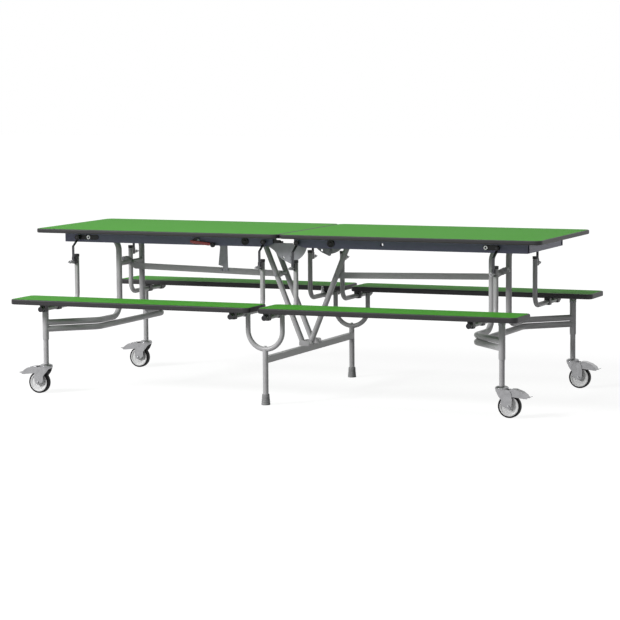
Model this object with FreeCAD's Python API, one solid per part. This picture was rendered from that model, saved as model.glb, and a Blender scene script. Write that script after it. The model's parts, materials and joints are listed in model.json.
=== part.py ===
import FreeCAD, Part
import math
import os
from FreeCAD import Vector

# Cafeteria folding table with two benches on each side, standing open.
# Millimetres.  X runs along the table, Y across it, Z up from the floor; the origin is the
# centre of the floor rectangle.  "Left" is -X, "front" is -Y.

# ---------------------------------------------------------------- driving dimensions: boards
TABLE_LENGTH = 2430.0
TABLE_WIDTH = 732.0
TABLE_HEIGHT = 738.0
BOARD_THICKNESS = 19.0
HALVES_GAP = 3.0            # slit between the two table halves
TOP_CORNER_RADIUS = 32.0    # all corners of both table halves
EDGE_WIDTH = 6.0            # moulded edge band round every board
EDGE_ROUNDING = 5.0

BENCH_WIDTH = 205.0
BENCH_INNER_Y = 431.0       # from the table's middle to the bench's near edge
BENCH_HEIGHT = 438.0
BENCH_THICKNESS = 23.5
BENCH_INNER_X = 19.0
BENCH_END_INSET = 16.0       # bench ends, back from the table's ends
BENCH_CORNER_RADIUS = 26.0

# ---------------------------------------------------------------- driving dimensions: pivots
LEG_INSET = 124.6           # castor legs, and the folding pivots right above them, from the table's end
LEG_UNDER_BENCH = 69.7      # and outward from the bench's near edge
PIVOT_DROP = 24.0           # line of every pivot in the underframe, below the boards
BENCH_PIVOT_DROP = 19.5     # line of every pivot under the benches, below the bench boards
HINGE_DROP = 71.0           # centre hinge between the two halves, below the pivots
ARM_PIVOT_X = 208.0         # upper pivots of the sloping centre arms
ARM_FOOT_X = 14.0           # lower pivots of the arms
ARM_FOOT_RISE = 13.0        # and above the crossbar
HANGER_INSET = 73.4         # outer hangers, inward from the castor legs
HANGER_INNER_X = 81.0       # inner hangers, from the middle
HANGER_SHIFT = -33.0        # the hangers of both halves stand this far to the left
FOLD_ANGLE = 75.0           # each half turns this far when the table is folded

# ---------------------------------------------------------------- driving dimensions: frames
RAIL_OUTER_Y = 248.0
RAIL_WIDTH = 25.0
RAIL_HEIGHT = 46.5
RAIL_WALL = 2.0
RAIL_END_INSET = 95.0       # rails' outer ends, back from the table's ends
LEFT_RAIL_END = (115.0, 74.0)    # inner end of the left rails, at bottom and top
RIGHT_RAIL_END = (85.0, 30.0)
RAIL_END_STEP = 15.5        # height of the sloping cut at the rails' inner end
CROSS_RAIL_INSETS = (470.4, 230.4)   # two rails between the side rails, inward from the legs
CROSS_RAIL_WIDTH = 25.0
CROSS_RAIL_HEIGHT = 30.0
END_PLATE = 3.0             # thickness of the rail across the table's end
RAIL_HOLE_X = 448.0         # sight hole in the right half's rails
RAIL_HOLE_RADIUS = 8.0
SHAFT_RADIUS = 6.0          # folding shafts above the castor legs
HEAD_TUBE_RADIUS = 12.5     # tube across the goosenecks, round the folding shaft

PIPE_RADIUS = 14.0
PIPE_WALL = 2.0
LOWER_PIPE_Z = 294.0
PIPE_PITCH = 29.5           # height between the two stacked pipes
PIPE_BOW = 178.4            # the pipes bow inward this far from the legs
PIPE_BEND_Y = 322.3
PIPE_BEND_RADIUS = 60.0
GOOSENECK_Y = 116.0
GOOSENECK_RADIUS = 13.5
GOOSENECK_BEND = 70.0
FORK_BAR_DROP = 130.0       # bar between the goosenecks, below the pivots
FORK_BAR_RADIUS = 11.0

SLEEVE_RADIUS = 14.5        # upper part of a castor leg
SLEEVE_WALL = 2.2
SLEEVE_BELOW_PIPE = 48.0
SLEEVE_TOP_RISE = 10.0      # leg top above the bench pivot
SLEEVE_PLUG = 25.0
INSERT_RADIUS = 12.0        # lower part, pushed up into the sleeve
INSERT_WALL = 2.0
INSERT_ABOVE_PIPE = 6.0
INSERT_PLUG = 30.0

CENTRE_LEG_Y = 499.6
CENTRE_LEG_RADIUS = 12.5
CENTRE_LEG_WALL = 2.0
U_HALF_WIDTH = 82.0         # U-shaped bench support on each centre leg
U_RADIUS = 11.0
U_WALL = 1.8
U_BOTTOM_Z = 245.0
SADDLE_THICKNESS = 9.0
SADDLE_OUTWARD = 17.5
CROSSBAR_BOTTOM_Z = 185.0
CROSSBAR_HEIGHT = 28.0
CROSSBAR_WIDTH = 25.0
CROSSBAR_WALL = 2.0
FOOT_TIP_HEIGHT = 48.0
FOOT_TIP_RADIUS = 20.0
FOOT_TIP_TOP_RADIUS = 16.0
FOOT_SOLE = 8.0

ARM_RADIUS = 12.5
ARM_WALL = 2.0
ARM_PAIR_Y = 55.0
ARM_SINGLE_Y = -24.0
ARM_SHAFT_RADIUS = 8.0
ARM_EYE_RADIUS = 13.0
EAR_THICKNESS = 2.5
EAR_HALF_WIDTH = 25.0
EAR_RISE = 10.0             # ears above the arms' lower pivots

STRETCHER_PIN_DROP = 164.0   # where each stretcher meets the arms, below the pivots
STRETCHER_KNEE_INSET = 205.4 # where it bends to its outer pivot, inward from the legs
STRETCHER_KNEE_DROP = 148.0
STRETCHER_PIVOT_INSET = 150.4
STRETCHER_PLUG = 14.0        # solid end at the arms
STRETCHER_KNEE_PLUG = 4.0
STRETCHER_WIDTH = 20.0
STRETCHER_HEIGHT = 27.0
STRETCHER_WALL = 2.0
STRETCHER_EYE_RADIUS = 9.0
FORK_CHEEK = 4.0

HANGER_Y = 270.0
HANGER_RADIUS = 11.0
HANGER_WALL = 1.6
HANGER_TOP_DROP = 88.0      # hanger tubes' tops, below the pivots
HANGER_BEND = 45.0
HANGER_REACH_Y = 608.0
HANGER_CAP = 12.0
LINK_WIDTH = 11.0
LINK_THICKNESS = 4.0
LINK_EYE_RADIUS = 9.5
LINK_STEP_Y = 42.0          # the link steps outward this far
LINK_BOLT_DROP = 109.0
LINK_BOLT_TAIL = 44.0       # the bolt's thread stands out this far past the link
CLAMP_HALF_WIDTH = 9.0      # block between the link and the hanger tube
CLAMP_BELOW_BOLT = 10.0
EYE_PLATE = 5.0             # small eye plate on the inner hanger at the back left
EYE_PLATE_Y = 415.0
EYE_PLATE_RISE = 29.0       # its eye above the hanger's level run
EYE_PLATE_RADIUS = 13.0
EYE_PLATE_HOLE = 5.0
EYE_PLATE_END = 441.0
EYE_PLATE_TOP = 17.0        # its foot stays this low under the bench
BEARING_LENGTH = 30.0
BEARING_WALL = 2.0
BEARING_Y = (444.0, 570.0)
BEARING_STRIP = 3.0

HINGE_PLATE = 4.0
HINGE_BOLT_RADIUS = 5.0
LEFT_PLATE_OUTLINE = ((-150, 66), (-110, 52), (-77, 31), (-55, 5), (-36, -9), (4, -26.5),
                      (12, -22), (14, 66))       # from the hinge bolt, in X and Z
SECTOR_RADIUS = 85.0
SECTOR_CENTRE_RISE = 68.0   # the right plates' arc, centred above the hinge bolt
SECTOR_ANGLES = (-13, -50, -92)
SECTOR_OUTLINE = ((-9, -9), (-9, 16), (20, 64), (150, 64), (150, 53), (92, 51))
SECTOR_SLOT = 10.0          # slot in the right rail's floor, past the rail's cut end

WHEEL_RADIUS = 50.0
TYRE_THICKNESS = 6.5
TYRE_WIDTH = 32.0
HUB_WIDTH = 26.0
CASTOR_TRAIL = 35.0
CASTOR_TOP_Z = 134.0
FORK_TOP_Z = 121.0
FORK_BOTTOM_Z = 38.0
FORK_PLATE = 2.5
FORK_NOSE_RADIUS = 28.0     # half-round nose of the pressed fork, round the leg's axis
FORK_HALF_WIDTH = 23.0      # outside of the cheeks at the wheel
FORK_TAPER_END = 26.0       # the cheeks come in from the nose to this far behind the axis
FORK_CROWN_END = 30.0
FORK_SIDE = ((-28, 121), (30, 121), (40, 119), (47, 108), (52, 78), (50, 56), (44, 44),
             (35, 40.5), (26, 43), (12, 50), (4, 58), (5, 78), (-8, 94), (-18, 110), (-28, 118))
AXLE_RADIUS = 4.0
STEM_RADIUS = 6.0
STEM_LENGTH = 28.0
PEDAL_PIVOT = (36.0, 111.0)     # from the leg's axis, and above the floor
PEDAL_PLATE = 2.5
PEDAL_HALF_WIDTH = 19.5
PEDAL_WALL_SIDE = ((31, 115), (44, 124), (62, 124), (92, 114), (110, 102), (118, 91), (118, 85),
                   (104, 85), (88, 87), (62, 90), (48, 91), (38, 98), (32, 107))
PEDAL_TOP_SIDE = ((44, 124), (62, 124), (92, 114), (110, 102), (118, 91), (130, 94.5), (130, 92),
                  (117, 88.5), (108, 100.5), (91, 111.5), (61.5, 121.5), (44, 121.5))
SHOE_SIDE = ((44, 122), (44, 103.5), (58, 103.5), (58, 122))    # brake shoe under the pedal's top
SHOE_HALF_WIDTH = 12.0

LEVER_X = 437.0             # release lever on the left half
LEVER_SHAFT_RADIUS = 6.0
LEVER_BAR = ((-37, 1), (-26, 0), (60, -9), (64, -11), (64, -18), (56, -23), (-26, -14), (-37, -11))
                            # handle and hook outlines from the lever's shaft, in X and Z
LATCH_OUTLINE = ((-12, 10), (-12, -35), (-5, -49), (-14, -132), (8, -137), (10, -158), (34, -158),
                 (31, -35), (18, 10))

# ---------------------------------------------------------------- driving dimensions: small pieces
BOLT_HEAD = 4.0             # height of the flat bolt heads
BOLT_HEAD_RADIUS = 9.0
BENCH_BOLT_RADIUS = 4.0
BENCH_HEAD_RADIUS = 7.5
BENCH_EAR_RADIUS = 11.0
FORK_BOLT_RADIUS = 4.0
ARM_BOLT_RADIUS = 4.0
ARM_HEAD_RADIUS = 7.0
ARM_EYE_EXTRA = 3.0
STRETCHER_SLEEVE_RADIUS = 10.0
PLATE_HOLE_X = -33.0
PLATE_HOLE_RADIUS = 5.0
RAIL_PLATE_PAST_PIN = 10.0     # slotted plate on each rail, past the outer hanger's pin
LEFT_PLATE_LENGTH = 113.0
RIGHT_PLATE_LENGTH = 77.0
RING_FROM_PIN = 53.0
STOP_LENGTH = 32.0          # rubber stops at the inner ends of the left rails
STOP_HALF_WIDTH = 8.0
STOP_HEIGHT = 13.0
STOP_BOLT_LENGTH = 14.0
STOP_BOLT_RADIUS = 4.5
FITTING_PLATE = 3.0
FITTING_HEIGHT = 22.0
RING_RADIUS = 9.0
RING_BORE = 4.5
RING_LENGTH = 4.0
CAP_RADIUS = 18.0
CAP_LENGTH = 6.0
LINK_Y = 259.5              # inner face of the links at the rail's pins
LINK_BEND_DROP = (12.0, 39.0)  # the link's crank, top and bottom, below the pivot
HANGER_PIN_RADIUS = 5.0
HANGER_COLLAR_RADIUS = 8.0
HANGER_HEAD_RADIUS = 11.0
LINK_BOLT_RADIUS = 4.0
NUT_LENGTH = 9.0
NUT_RADIUS = 7.5
NUT_SPACING = 20.0
CASTOR_HEAD_RADIUS = 30.0
CASTOR_HEAD_TOP_RADIUS = 21.0
CASTOR_HEAD_EDGE = 5.0      # height of the head's upright rim
AXLE_END = 3.0
PEDAL_PIN_RADIUS = 3.0
PEDAL_EYE_RADIUS = 6.0
HUB_DISH = 5.0
HUB_RIM = 6.0
HUB_BOSS_RADIUS = 12.0
TYRE_ROUNDING = 8.0
U_PLUG_RADIUS = 6.0
U_PLUG_RISE = 4.0
SADDLE_HALF_DEPTH = 13.0
LEVER_SEAT = 4.0
LEVER_BASE = 5.0             # thickness of the round base behind the bar
LEVER_BASE_SHIFT = -11.0     # its middle, in X from the shaft
LEVER_BASE_DROP = 5.0
LEVER_BASE_RADIUS = 17.0
LEVER_BAR_THICKNESS = 9.0
LEVER_ROUNDING = 2.5         # long edges of the bar's face
LEVER_KNOB_SHIFT = 75.0      # the knob at the bar's end, from the shaft
LEVER_KNOB_DROP = 19.0
LEVER_KNOB_RADIUS = 11.0
LEVER_KNOB_LENGTH = 12.0
LATCH_THICKNESS = 4.0
CATCH_DROP = 154.0           # catch stud on the left stretcher, right below the lever's shaft
CATCH_RADIUS = 5.0
CATCH_LENGTH = 8.0

# ---------------------------------------------------------------- named clearances
RUNNING = 0.05              # radial, shaft in a hole between moving pieces
SIDE_GAP = 0.5              # between faces that slide past each other
REST_GAP = 0.3              # between pieces of different bodies that rest on each other

# ---------------------------------------------------------------- derived places
BOARD_BOTTOM = TABLE_HEIGHT - BOARD_THICKNESS
RAIL_BOTTOM = BOARD_BOTTOM - RAIL_HEIGHT
RAIL_INNER_Y = RAIL_OUTER_Y - RAIL_WIDTH
RAIL_OUTER_X = TABLE_LENGTH / 2 - RAIL_END_INSET
BENCH_BOTTOM = BENCH_HEIGHT - BENCH_THICKNESS
BENCH_OUTER_Y = BENCH_INNER_Y + BENCH_WIDTH
BENCH_OUTER_X = TABLE_LENGTH / 2 - BENCH_END_INSET
LEG_X = TABLE_LENGTH / 2 - LEG_INSET
LEG_Y = BENCH_INNER_Y + LEG_UNDER_BENCH
PIPE_INNER_X = LEG_X - PIPE_BOW
UPPER_PIPE_Z = LOWER_PIPE_Z + PIPE_PITCH
SLEEVE_BOTTOM_Z = LOWER_PIPE_Z - SLEEVE_BELOW_PIPE
CROSSBAR_TOP = CROSSBAR_BOTTOM_Z + CROSSBAR_HEIGHT
ARM_FOOT_Z = CROSSBAR_TOP + ARM_FOOT_RISE
PIVOT_Z = BOARD_BOTTOM - PIVOT_DROP
BENCH_PIVOT_Z = BENCH_BOTTOM - BENCH_PIVOT_DROP
HINGE_Z = PIVOT_Z - HINGE_DROP
FORK_BAR_Z = PIVOT_Z - FORK_BAR_DROP
HANGER_TOP_Z = PIVOT_Z - HANGER_TOP_DROP
LINK_BOLT_Z = PIVOT_Z - LINK_BOLT_DROP
RAIL_END = {-1: LEFT_RAIL_END, 1: RIGHT_RAIL_END}
RAIL_PLATE_LENGTH = {-1: LEFT_PLATE_LENGTH, 1: RIGHT_PLATE_LENGTH}
SIDES = {-1: "left", 1: "right"}
FRONT_BACK = {-1: "front", 1: "back"}


# ---------------------------------------------------------------- small makers
def block(x1, x2, y1, y2, z1, z2):
    low = Vector(min(x1, x2), min(y1, y2), min(z1, z2))
    return Part.makeBox(abs(x2 - x1), abs(y2 - y1), abs(z2 - z1), low)


def rod(start, end, radius):
    along = end - start
    return Part.makeCylinder(radius, along.Length, start, along)


def rod_y(x, z, y1, y2, radius):
    return rod(Vector(x, min(y1, y2), z), Vector(x, max(y1, y2), z), radius)


def rod_z(x, y, z1, z2, radius):
    return rod(Vector(x, y, min(z1, z2)), Vector(x, y, max(z1, z2)), radius)


def plate_xz(outline, y1, y2):
    """A flat plate with its outline in X and Z, between two values of Y."""
    low = min(y1, y2)
    points = [Vector(x, low, z) for x, z in outline]
    face = Part.Face(Part.makePolygon(points + [points[0]]))
    return face.extrude(Vector(0, abs(y2 - y1), 0))


def plate_yz(outline, x1, x2):
    low = min(x1, x2)
    points = [Vector(low, y, z) for y, z in outline]
    face = Part.Face(Part.makePolygon(points + [points[0]]))
    return face.extrude(Vector(abs(x2 - x1), 0, 0))


def rounded_slab(x1, x2, y1, y2, z1, z2, corner_radii):
    """A flat board; its upright corners have one radius at its low X end and one at its high X end."""
    slab = block(x1, x2, y1, y2, z1, z2)
    middle = (x1 + x2) / 2
    for at_high_end, radius in enumerate(corner_radii):
        corners = [edge for edge in slab.Edges
                   if abs(edge.tangentAt(edge.FirstParameter).z) > 0.99
                   and (edge.CenterOfMass.x > middle) == bool(at_high_end)
                   and edge.Length > abs(z2 - z1) - 0.01]
        slab = slab.makeFillet(radius, corners)
    return slab


def bend_path(points, radii):
    """Straight runs joined by tangent arcs; radii has one value for each inner point."""
    edges = []
    start = points[0]
    for index, radius in enumerate(radii, start=1):
        corner = points[index]
        before = (corner - points[index - 1]).normalize()
        after = (points[index + 1] - corner).normalize()
        half_turn = before.getAngle(after) / 2
        trim = radius * math.tan(half_turn)
        arc_start = corner - before * trim
        arc_end = corner + after * trim
        outward = (before - after).normalize()
        centre_distance = radius / math.cos(half_turn)
        arc_middle = corner + outward * (radius - centre_distance)
        edges.append(Part.LineSegment(start, arc_start).toShape())
        edges.append(Part.Arc(arc_start, arc_middle, arc_end).toShape())
        start = arc_end
    edges.append(Part.LineSegment(start, points[-1]).toShape())
    return Part.Wire(edges)


def sweep(path, radius):
    first = path.OrderedEdges[0]
    start = first.valueAt(first.FirstParameter)
    profile = Part.Wire(Part.Circle(start, first.tangentAt(first.FirstParameter), radius).toShape())
    return path.makePipeShell([profile], True, False)


def tube_along(path, radius, wall):
    return sweep(path, radius).cut(sweep(path, radius - wall))


def straight_tube(start, end, radius, wall):
    return rod(start, end, radius).cut(rod(start, end, radius - wall))


def rect_tube_y(x, width, z1, z2, y1, y2, wall):
    outer = block(x - width / 2, x + width / 2, y1, y2, z1, z2)
    inner = block(x - width / 2 + wall, x + width / 2 - wall, y1, y2, z1 + wall, z2 - wall)
    return outer.cut(inner)


def band_and_board(x1, x2, y1, y2, top, thickness, corner_radii):
    """A laminated board and the rounded band moulded round its edge."""
    outer = rounded_slab(x1, x2, y1, y2, top - thickness, top, corner_radii)
    rims = [edge for edge in outer.Edges
            if abs(edge.tangentAt(edge.FirstParameter).z) < 0.01]
    outer = outer.makeFillet(EDGE_ROUNDING, rims)
    inner_radii = [radius - EDGE_WIDTH for radius in corner_radii]
    board = rounded_slab(min(x1, x2) + EDGE_WIDTH, max(x1, x2) - EDGE_WIDTH,
                         min(y1, y2) + EDGE_WIDTH, max(y1, y2) - EDGE_WIDTH,
                         top - thickness, top, inner_radii)
    return outer.cut(board), board


# ---------------------------------------------------------------- linkage
ARM_LENGTH = math.hypot(ARM_PIVOT_X - ARM_FOOT_X, PIVOT_Z - ARM_FOOT_Z)
ARM_LEAN_OPEN = math.asin((ARM_PIVOT_X - ARM_FOOT_X) / ARM_LENGTH)
STRETCHER_PIN_DISTANCE = STRETCHER_PIN_DROP / math.cos(ARM_LEAN_OPEN)     # along the arm
STRETCHER_PIN_X = ARM_PIVOT_X - STRETCHER_PIN_DISTANCE * math.sin(ARM_LEAN_OPEN)
STRETCHER_PIN_Z = PIVOT_Z - STRETCHER_PIN_DROP
STRETCHER_PIVOT_X = LEG_X - STRETCHER_PIVOT_INSET


def arm_lean(fold):
    """Angle of an arm from upright when each half has turned by fold (radians)."""
    pivot_from_middle = ARM_PIVOT_X * math.cos(fold) + (PIVOT_Z - HINGE_Z) * math.sin(fold)
    return math.asin((pivot_from_middle - ARM_FOOT_X) / ARM_LENGTH)


def arm_point(distance, fold):
    """A point on an arm, from the castor leg's pivot line and the floor."""
    reach = LEG_X - ARM_PIVOT_X
    lean = arm_lean(fold)
    return (reach * math.cos(fold) + distance * math.sin(lean),
            PIVOT_Z + reach * math.sin(fold) - distance * math.cos(lean))


def stretcher_pivot_z():
    """Height of the outer pivot that keeps the stretcher's length, open and folded."""
    open_pin = arm_point(STRETCHER_PIN_DISTANCE, 0.0)
    folded_pin = arm_point(STRETCHER_PIN_DISTANCE, math.radians(FOLD_ANGLE))
    across = folded_pin[0] - open_pin[0]
    up = folded_pin[1] - open_pin[1]
    middle = ((open_pin[0] + folded_pin[0]) / 2, (open_pin[1] + folded_pin[1]) / 2)
    return middle[1] - (STRETCHER_PIVOT_INSET - middle[0]) * across / up


def hanger_x(side, index):
    """Outer hangers have index 0, inner hangers 1."""
    from_middle = HANGER_INNER_X if index else LEG_X - HANGER_INSET
    return side * from_middle + HANGER_SHIFT


# ---------------------------------------------------------------- table halves
def table_half(side):
    inner = side * HALVES_GAP / 2
    outer = side * TABLE_LENGTH / 2
    half_width = TABLE_WIDTH / 2
    return band_and_board(min(inner, outer), max(inner, outer), -half_width, half_width,
                          TABLE_HEIGHT, BOARD_THICKNESS, (TOP_CORNER_RADIUS, TOP_CORNER_RADIUS))


def side_rail(side, front_back):
    end_low, end_high = RAIL_END[side]
    y_outer = front_back * RAIL_OUTER_Y
    y_inner = front_back * RAIL_INNER_Y
    slope = RAIL_BOTTOM + RAIL_END_STEP
    outline = [(side * RAIL_OUTER_X, RAIL_BOTTOM), (side * end_low, RAIL_BOTTOM),
               (side * end_high, slope), (side * end_high, BOARD_BOTTOM),
               (side * RAIL_OUTER_X, BOARD_BOTTOM)]
    rail = plate_xz(outline, y_outer, y_inner)
    cavity_outer = y_outer - front_back * RAIL_WALL
    cavity_inner = y_inner + front_back * RAIL_WALL
    rail = rail.cut(block(side * (RAIL_OUTER_X + 1), 0, cavity_outer, cavity_inner,
                          RAIL_BOTTOM + RAIL_WALL, BOARD_BOTTOM - RAIL_WALL))
    rail = rail.cut(rod_y(side * LEG_X, PIVOT_Z, y_outer, y_inner, SHAFT_RADIUS + RUNNING))
    rail = rail.cut(rod_y(side * ARM_PIVOT_X, PIVOT_Z, y_outer, y_inner, ARM_SHAFT_RADIUS))
    if side < 0:
        rail = rail.cut(rod_y(-LEVER_X, PIVOT_Z, y_outer, y_inner, LEVER_SHAFT_RADIUS + RUNNING))
    else:
        rail = rail.cut(rod_y(RAIL_HOLE_X, PIVOT_Z, y_outer, y_inner, RAIL_HOLE_RADIUS))
        plate_slot = block(end_high, end_low + SIDE_GAP + SECTOR_SLOT, cavity_inner,
                           cavity_inner + front_back * (HINGE_PLATE + REST_GAP),
                           RAIL_BOTTOM, RAIL_BOTTOM + RAIL_WALL)
        rail = rail.cut(plate_slot)
    return rail


def underframe(side):
    pieces = [side_rail(side, -1), side_rail(side, 1)]
    pieces.append(block(side * RAIL_OUTER_X, side * (RAIL_OUTER_X - END_PLATE),
                        -RAIL_INNER_Y, RAIL_INNER_Y, RAIL_BOTTOM, BOARD_BOTTOM))
    for inset in CROSS_RAIL_INSETS:
        pieces.append(rect_tube_y(side * (LEG_X - inset), CROSS_RAIL_WIDTH, BOARD_BOTTOM - CROSS_RAIL_HEIGHT,
                                  BOARD_BOTTOM, -RAIL_INNER_Y, RAIL_INNER_Y, RAIL_WALL))
    pieces.append(rod_y(side * ARM_PIVOT_X, PIVOT_Z, -RAIL_OUTER_Y, RAIL_OUTER_Y, ARM_SHAFT_RADIUS))
    return pieces


def hinge_plate_outline(side):
    """Left: a blunt triangle.  Right: a round sector.  Both reach down past the hinge bolt."""
    if side < 0:
        points = [Vector(x, 0, HINGE_Z + rise) for x, rise in LEFT_PLATE_OUTLINE]
        return Part.Wire(Part.makePolygon(points + [points[0]]).Edges)
    centre = Vector(0, 0, HINGE_Z + SECTOR_CENTRE_RISE)
    angles = [math.radians(angle) for angle in SECTOR_ANGLES]
    arc = [centre + Vector(SECTOR_RADIUS * math.cos(a), 0, SECTOR_RADIUS * math.sin(a)) for a in angles]
    tail = [Vector(x, 0, HINGE_Z + rise) for x, rise in SECTOR_OUTLINE]
    edges = [Part.Arc(arc[0], arc[1], arc[2]).toShape()]
    stops = [arc[2]] + tail + [arc[0]]
    for here, there in zip(stops, stops[1:]):
        edges.append(Part.LineSegment(here, there).toShape())
    return Part.Wire(edges)


def hinge_plate_y(side):
    """Inner and outer face: left plates lie on the rails, right plates inside the hollow rails."""
    if side < 0:
        return RAIL_INNER_Y - HINGE_PLATE, RAIL_INNER_Y
    return RAIL_INNER_Y + RAIL_WALL, RAIL_INNER_Y + RAIL_WALL + HINGE_PLATE


def hinge_plates(side):
    plates = []
    near, far = hinge_plate_y(side)
    for front_back in (-1, 1):
        low = min(front_back * near, front_back * far)
        face = Part.Face(hinge_plate_outline(side))
        plate = face.extrude(Vector(0, HINGE_PLATE, 0)).translated(Vector(0, low, 0))
        plate = plate.cut(rod_y(0, HINGE_Z, low, low + HINGE_PLATE, HINGE_BOLT_RADIUS + RUNNING))
        if side < 0:
            plate = plate.cut(rod_y(PLATE_HOLE_X, HINGE_Z, low, low + HINGE_PLATE, PLATE_HOLE_RADIUS))
        plates.append(plate)
    return plates


def centre_hinge_bolts():
    bolts = []
    inner = hinge_plate_y(-1)[0] - SIDE_GAP
    outer = hinge_plate_y(1)[1] + SIDE_GAP
    for front_back in (-1, 1):
        bolt = rod_y(0, HINGE_Z, front_back * inner, front_back * outer, HINGE_BOLT_RADIUS)
        for start, end in ((inner - BOLT_HEAD, inner), (outer, outer + BOLT_HEAD)):
            bolt = bolt.fuse(rod_y(0, HINGE_Z, front_back * start, front_back * end, BOLT_HEAD_RADIUS))
        bolts.append(bolt.removeSplitter())
    return bolts


def rail_stop(front_back):
    """Rubber stop and its bolt, which stand out from the inner end of a left rail."""
    middle = front_back * (RAIL_OUTER_Y - RAIL_WIDTH / 2)
    start = -RAIL_END[-1][1]
    bottom = PIVOT_Z - STOP_BOLT_RADIUS
    block_end = start + STOP_LENGTH
    stop = block(start, block_end, middle - STOP_HALF_WIDTH, middle + STOP_HALF_WIDTH,
                 bottom, bottom + STOP_HEIGHT)
    bolt = rod(Vector(block_end, middle, PIVOT_Z), Vector(block_end + STOP_BOLT_LENGTH, middle, PIVOT_Z),
               STOP_BOLT_RADIUS)
    return [stop, bolt]


def rail_fittings(side):
    """Hanger pins, slotted plates, rings and shaft caps on the outside of the rails."""
    pieces = []
    outer_pin_x = abs(hanger_x(side, 0))
    plate_start = outer_pin_x + RAIL_PLATE_PAST_PIN
    plate_end = plate_start - RAIL_PLATE_LENGTH[side]
    ring_x = outer_pin_x - RING_FROM_PIN
    for front_back in (-1, 1):
        if side < 0:
            pieces += rail_stop(front_back)
        face = front_back * RAIL_OUTER_Y
        skin = face + front_back * FITTING_PLATE
        half = FITTING_HEIGHT / 2
        plate = block(side * plate_start, side * plate_end, face, skin, PIVOT_Z - half, PIVOT_Z + half)
        upright = [edge for edge in plate.Edges
                   if abs(edge.tangentAt(edge.FirstParameter).y) > 0.99]
        pieces.append(plate.makeFillet(half - 1, upright))
        ring = rod_y(side * ring_x, PIVOT_Z, skin, skin + front_back * RING_LENGTH, RING_RADIUS)
        bore = rod_y(side * ring_x, PIVOT_Z, skin, skin + front_back * RING_LENGTH, RING_BORE)
        pieces.append(ring.cut(bore))
        pieces.append(rod_y(side * ARM_PIVOT_X, PIVOT_Z, face, face + front_back * CAP_LENGTH, CAP_RADIUS))
        for index in (0, 1):
            x = hanger_x(side, index)
            seat = skin if index == 0 else face
            link = front_back * LINK_Y
            pin = rod_y(x, PIVOT_Z, seat, link + front_back * LINK_THICKNESS, HANGER_PIN_RADIUS)
            collar = rod_y(x, PIVOT_Z, seat, link - front_back * SIDE_GAP, HANGER_COLLAR_RADIUS)
            head_start = link + front_back * (LINK_THICKNESS + SIDE_GAP)
            neck = rod_y(x, PIVOT_Z, link, head_start, HANGER_PIN_RADIUS)
            head = rod_y(x, PIVOT_Z, head_start, head_start + front_back * BOLT_HEAD, HANGER_HEAD_RADIUS)
            pieces.append(pin.fuse([collar, neck, head]).removeSplitter())
    return pieces


# ---------------------------------------------------------------- end frames with castor legs
def leg_cylinder(side, front_back, radius, z1, z2):
    return rod_z(side * LEG_X, front_back * LEG_Y, z1, z2, radius)


def leg_sleeve(side, front_back):
    top = BENCH_PIVOT_Z + SLEEVE_TOP_RISE
    sleeve = leg_cylinder(side, front_back, SLEEVE_RADIUS, SLEEVE_BOTTOM_Z, top)
    hollow = leg_cylinder(side, front_back, SLEEVE_RADIUS - SLEEVE_WALL, SLEEVE_BOTTOM_Z, top - SLEEVE_PLUG)
    sleeve = sleeve.cut(hollow)
    reach = SLEEVE_RADIUS + SIDE_GAP + EAR_THICKNESS
    middle = front_back * LEG_Y
    return sleeve.cut(rod_y(side * LEG_X, BENCH_PIVOT_Z, middle - reach, middle + reach, BENCH_BOLT_RADIUS))


def bench_pivot_bolt(side, front_back):
    middle = front_back * LEG_Y
    reach = SLEEVE_RADIUS + 2 * SIDE_GAP + EAR_THICKNESS
    bolt = rod_y(side * LEG_X, BENCH_PIVOT_Z, middle - reach, middle + reach, BENCH_BOLT_RADIUS)
    for direction in (-1, 1):
        start = middle + direction * reach
        head = rod_y(side * LEG_X, BENCH_PIVOT_Z, start, start + direction * BOLT_HEAD, BENCH_HEAD_RADIUS)
        bolt = bolt.fuse(head)
    return bolt.removeSplitter()


def gooseneck(side, front_back):
    """From the castor leg along the upper pipe, up, and outward to the folding pivot."""
    inner_x = side * PIPE_INNER_X
    near = front_back * GOOSENECK_Y
    path = bend_path([Vector(side * LEG_X, front_back * LEG_Y, UPPER_PIPE_Z),
                      Vector(inner_x, front_back * PIPE_BEND_Y, UPPER_PIPE_Z),
                      Vector(inner_x, near, UPPER_PIPE_Z),
                      Vector(inner_x, near, PIVOT_Z),
                      Vector(side * LEG_X, near, PIVOT_Z)],
                     [PIPE_BEND_RADIUS, GOOSENECK_BEND, GOOSENECK_BEND])
    tube = tube_along(path, GOOSENECK_RADIUS, PIPE_WALL)
    tube = tube.cut(leg_cylinder(side, front_back, SLEEVE_RADIUS, SLEEVE_BOTTOM_Z, BENCH_PIVOT_Z))
    return tube.cut(rod_y(side * LEG_X, PIVOT_Z, -GOOSENECK_Y * 2, GOOSENECK_Y * 2, HEAD_TUBE_RADIUS))


def lower_pipe(side):
    inner_x = side * PIPE_INNER_X
    path = bend_path([Vector(side * LEG_X, -LEG_Y, LOWER_PIPE_Z),
                      Vector(inner_x, -PIPE_BEND_Y, LOWER_PIPE_Z),
                      Vector(inner_x, PIPE_BEND_Y, LOWER_PIPE_Z),
                      Vector(side * LEG_X, LEG_Y, LOWER_PIPE_Z)],
                     [PIPE_BEND_RADIUS, PIPE_BEND_RADIUS])
    pipe = tube_along(path, PIPE_RADIUS, PIPE_WALL)
    for front_back in (-1, 1):
        pipe = pipe.cut(leg_cylinder(side, front_back, SLEEVE_RADIUS, SLEEVE_BOTTOM_Z, BENCH_PIVOT_Z))
    return pipe


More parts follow.
